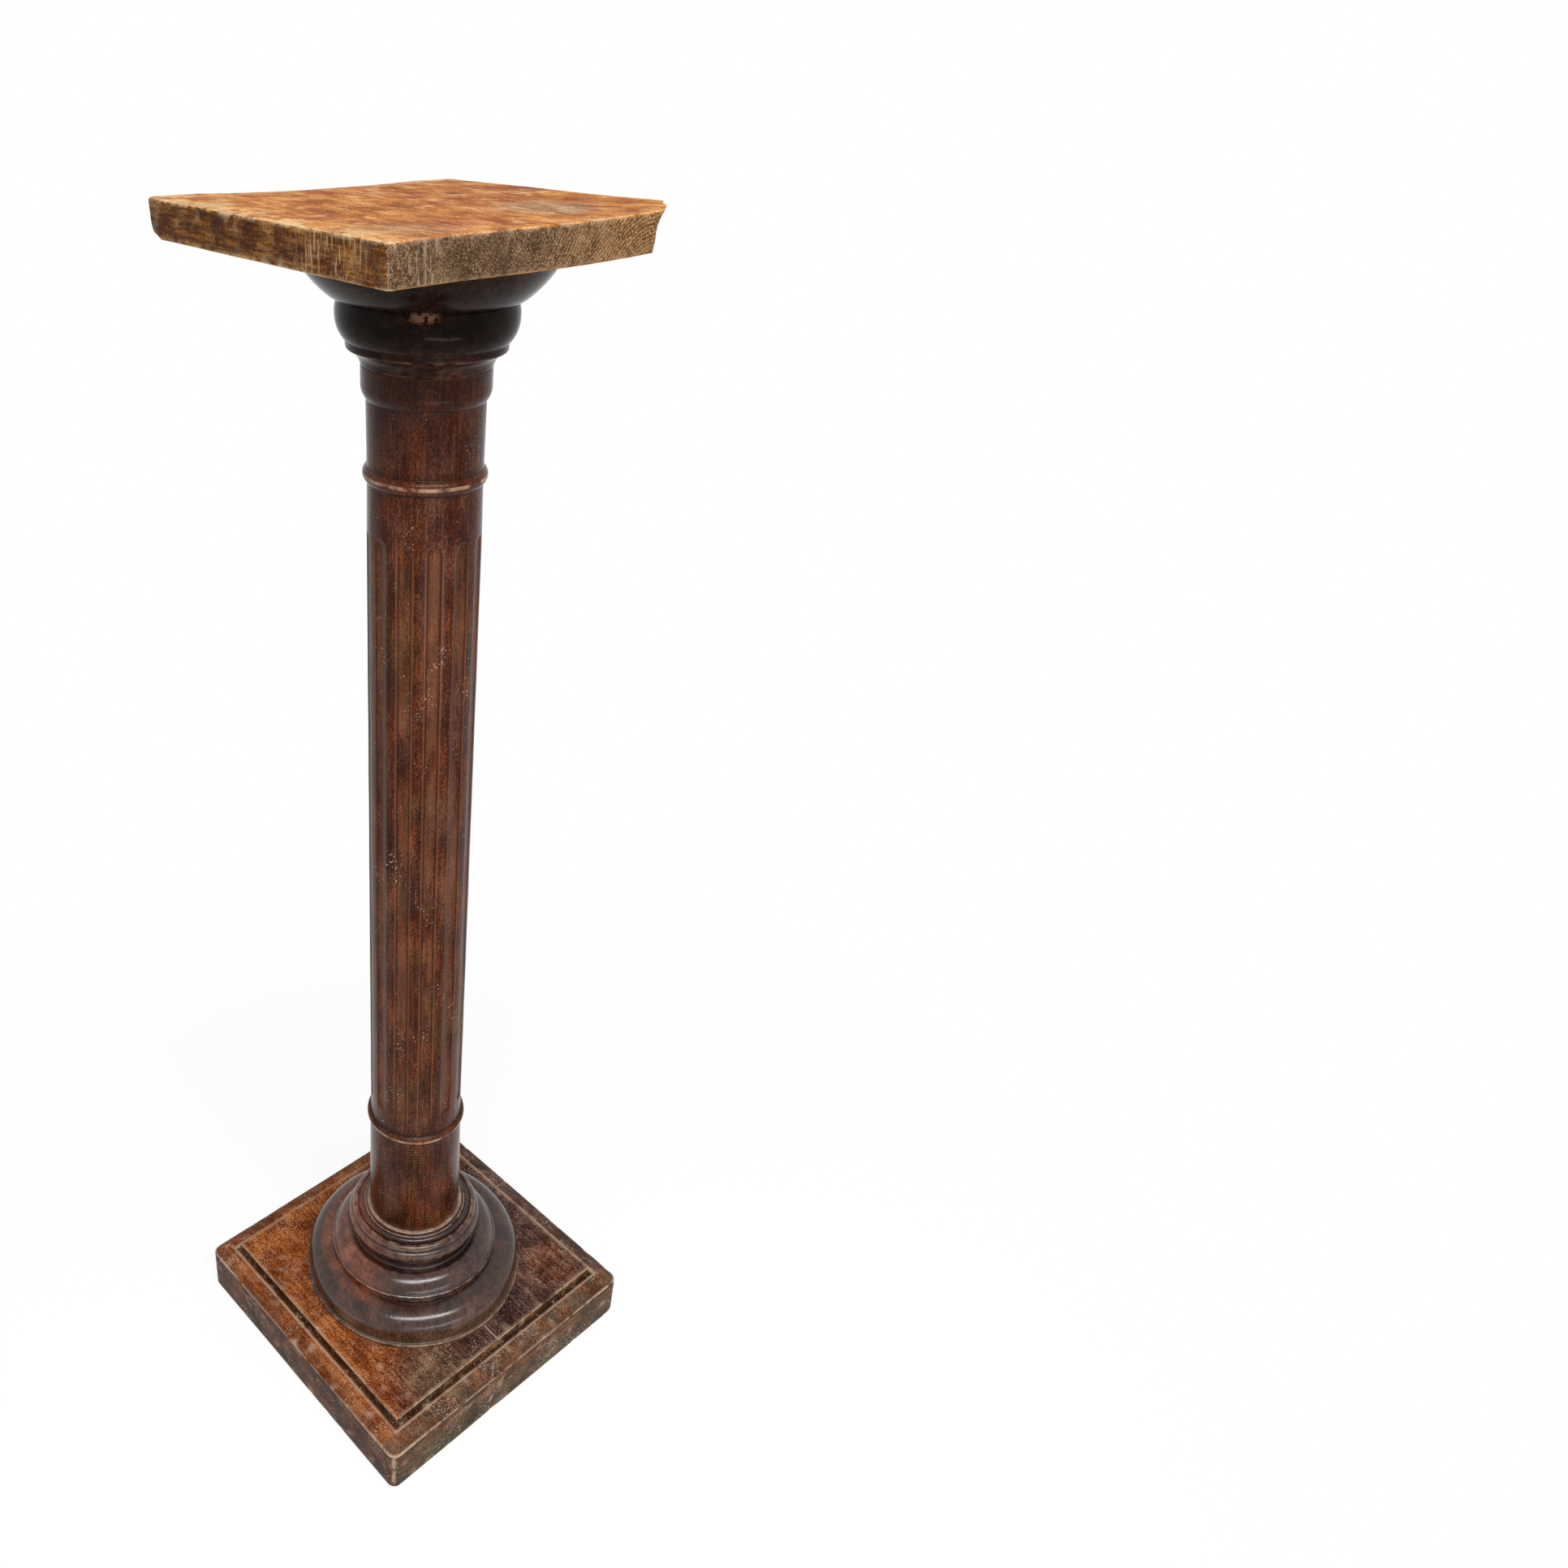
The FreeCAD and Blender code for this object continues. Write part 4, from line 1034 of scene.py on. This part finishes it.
def bare_wood_finish(name, dark, light, stretch):
    """Plain unfinished hardwood with a fine grain."""
    wood = Recipe(name)
    grain = wood.noise(1.4, 4.0, 0.6, stretch=stretch)
    patch = wood.noise(9.0, 2.0, 0.5)
    colour = wood.mix(wood.band(wood.blend((grain, 0.7), (patch, 0.3)), 0.3, 0.7), dark, light)
    return wood.finish(colour, 0.6, grain, 0.1)


def steel_finish():
    """Dull steel with turning marks and a little tarnish."""
    steel = Recipe("screw_dull_steel")
    tarnish = steel.noise(3.0, 4.0, 0.6)
    brushed = steel.noise(0.5, 3.0, 0.6, stretch=(1.0, 1.0, 6.0))
    colour = steel.mix(steel.band(tarnish, 0.35, 0.65), paint(96, 88, 78), paint(168, 164, 156))
    steel.shader.inputs["Metallic"].default_value = 1.0
    return steel.finish(colour, steel.plus(0.28, steel.times(tarnish, 0.25)), brushed, 0.03)


def dress(piece, material):
    """Gives a piece its material, and smooth shading that keeps its sharp edges."""
    piece.data.materials.clear()
    piece.data.materials.append(material)
    piece.data.shade_smooth()
    piece.data.set_sharp_from_angle(angle=math.radians(SMOOTH_ANGLE))


def dress_node(name, material):
    """Gives a CAD node that stays in view a finished material."""
    for spot in frame["nodes"][name].material_slots:
        spot.material = material


# Stage ----------------------------------------------------------------------------------

FLOOR_RADIUS = 6.0
CAMERA_PLACE = (-0.5665, -0.6548, 1.1462)
CAMERA_TURN = -41.815
CAMERA_PITCH = 59.07
CAMERA_ROLL = 1.35
CAMERA_LENS = 29.09
CAMERA_SHIFT = 0.2203

# the floor as it lights the object, its shadow as the camera sees it, and the light all round
FLOOR_GREY = 0.82
SHADOW_GREY = 0.16
SHADOW_GLOW = 0.88
SHADOW_FROM = 0.30
SHADOW_TO = 0.85
WORLD_LEVEL = 0.24


def floor_finish():
    """A pale floor that the camera sees as white apart from the object's soft shadow."""
    material = bpy.data.materials.new("floor_paper")
    material.use_nodes = True
    tree = material.node_tree
    tree.nodes.clear()
    add = tree.nodes.new
    link = tree.links.new
    output = add("ShaderNodeOutputMaterial")
    plain = add("ShaderNodeBsdfDiffuse")
    plain.inputs["Color"].default_value = (FLOOR_GREY, FLOOR_GREY, FLOOR_GREY, 1.0)
    faint = add("ShaderNodeBsdfDiffuse")
    faint.inputs["Color"].default_value = (SHADOW_GREY, SHADOW_GREY, SHADOW_GREY, 1.0)
    glow = add("ShaderNodeEmission")
    glow.inputs["Strength"].default_value = SHADOW_GLOW
    shadowed = add("ShaderNodeAddShader")
    link(faint.outputs[0], shadowed.inputs[0])
    link(glow.outputs[0], shadowed.inputs[1])
    white = add("ShaderNodeEmission")
    where = add("ShaderNodeTexCoord")
    away = add("ShaderNodeVectorMath")
    away.operation = "LENGTH"
    link(where.outputs["Object"], away.inputs[0])
    fade = add("ShaderNodeMapRange")
    fade.interpolation_type = "SMOOTHSTEP"
    fade.inputs["From Min"].default_value = SHADOW_FROM
    fade.inputs["From Max"].default_value = SHADOW_TO
    link(away.outputs["Value"], fade.inputs["Value"])
    seen = add("ShaderNodeMixShader")
    link(fade.outputs[0], seen.inputs[0])
    link(shadowed.outputs[0], seen.inputs[1])
    link(white.outputs[0], seen.inputs[2])
    mixed = add("ShaderNodeMixShader")
    link(seen_directly(tree), mixed.inputs[0])
    link(plain.outputs[0], mixed.inputs[1])
    link(seen.outputs[0], mixed.inputs[2])
    link(mixed.outputs[0], output.inputs[0])
    return material


def seen_directly(tree):
    """1 for what the camera sees, also by reflection or through glass."""
    path = tree.nodes.new("ShaderNodeLightPath")
    rays = [path.outputs[kind] for kind in ("Is Camera Ray", "Is Glossy Ray", "Is Transmission Ray")]
    total = rays[0]
    for ray in rays[1:]:
        either = tree.nodes.new("ShaderNodeMath")
        either.operation = "MAXIMUM"
        tree.links.new(total, either.inputs[0])
        tree.links.new(ray, either.inputs[1])
        total = either.outputs[0]
    return total


def floor():
    """The round floor that the stand is on."""
    mesh = bmesh.new()
    bmesh.ops.create_circle(mesh, cap_ends=True, segments=64, radius=FLOOR_RADIUS)
    data = bpy.data.meshes.new("floor")
    mesh.to_mesh(data)
    mesh.free()
    piece = bpy.data.objects.new("floor", data)
    bpy.context.collection.objects.link(piece)
    piece.data.materials.append(floor_finish())


def world():
    """Soft light from all round, and white where the camera sees past the floor."""
    surroundings = bpy.data.worlds.new("studio")
    bpy.context.scene.world = surroundings
    surroundings.use_nodes = True
    tree = surroundings.node_tree
    background = tree.nodes["Background"]
    background.inputs["Color"].default_value = (1.0, 1.0, 1.0, 1.0)
    strength = tree.nodes.new("ShaderNodeMapRange")
    strength.inputs["To Min"].default_value = WORLD_LEVEL
    strength.inputs["To Max"].default_value = 1.0
    tree.links.new(seen_directly(tree), strength.inputs["Value"])
    tree.links.new(strength.outputs[0], background.inputs["Strength"])


def lamp(name, place, target, width, height, watts):
    """A soft box that the camera doesn't see."""
    light = bpy.data.lights.new(name, "AREA")
    light.shape = "RECTANGLE"
    light.size = width
    light.size_y = height
    light.energy = watts
    holder = bpy.data.objects.new(name, light)
    bpy.context.collection.objects.link(holder)
    holder.location = place
    holder.rotation_euler = (Vector(target) - Vector(place)).to_track_quat("-Z", "Y").to_euler()
    holder.visible_camera = False


def camera():
    """The photograph's viewpoint, with its frame shifted aside as the photograph is."""
    data = bpy.data.cameras.new("camera")
    data.sensor_width = 36.0
    data.lens = CAMERA_LENS
    data.shift_x = CAMERA_SHIFT
    data.clip_start = 0.05
    holder = bpy.data.objects.new("camera", data)
    bpy.context.collection.objects.link(holder)
    turn = Matrix.Rotation(math.radians(CAMERA_TURN), 4, "Z")
    pitch = Matrix.Rotation(math.radians(CAMERA_PITCH), 4, "X")
    roll = Matrix.Rotation(math.radians(CAMERA_ROLL), 4, "Z")
    holder.matrix_world = Matrix.Translation(CAMERA_PLACE) @ turn @ pitch @ roll
    bpy.context.scene.camera = holder


# The scene ------------------------------------------------------------------------------

base_varnish = base_finish()
capital_varnish = capital_finish()
plinth_stain = plinth_finish()
for piece in (base_cushion(), base_collar()):
    dress(piece, base_varnish)
for piece in (capital_ring(), capital_bowl()):
    dress(piece, capital_varnish)
for piece in plinth_planks():
    dress(piece, plinth_stain)
dress(shaft(), shaft_finish())
dress(top_board(), board_finish())

dowel_wood = bare_wood_finish("dowel_beech", paint(168, 124, 82), paint(206, 168, 122), (1.0, 1.0, 14.0))
for node in ("plinth_seam_dowels", "base_dowels", "capital_dowels"):
    dress_node(node, dowel_wood)
wedge_wood = bare_wood_finish("wedge_oak", paint(132, 92, 56), paint(178, 136, 92), (1.0, 1.0, 10.0))
for node in ("bottom_tenon_wedge", "top_tenon_wedge"):
    dress_node(node, wedge_wood)
screw_steel = steel_finish()
for node in ("base_screws", "top_screws"):
    dress_node(node, screw_steel)

floor()
world()
lamp("key_light", place=(-0.80, -1.50, 2.50), target=(0.0, 0.0, 0.5), width=2.2, height=0.40, watts=66.0)
lamp("low_light", place=(-0.51, -1.41, 0.15), target=(0.0, 0.0, 0.9), width=1.2, height=0.05, watts=4.0)
camera()

bpy.context.scene.view_settings.view_transform = "Standard"
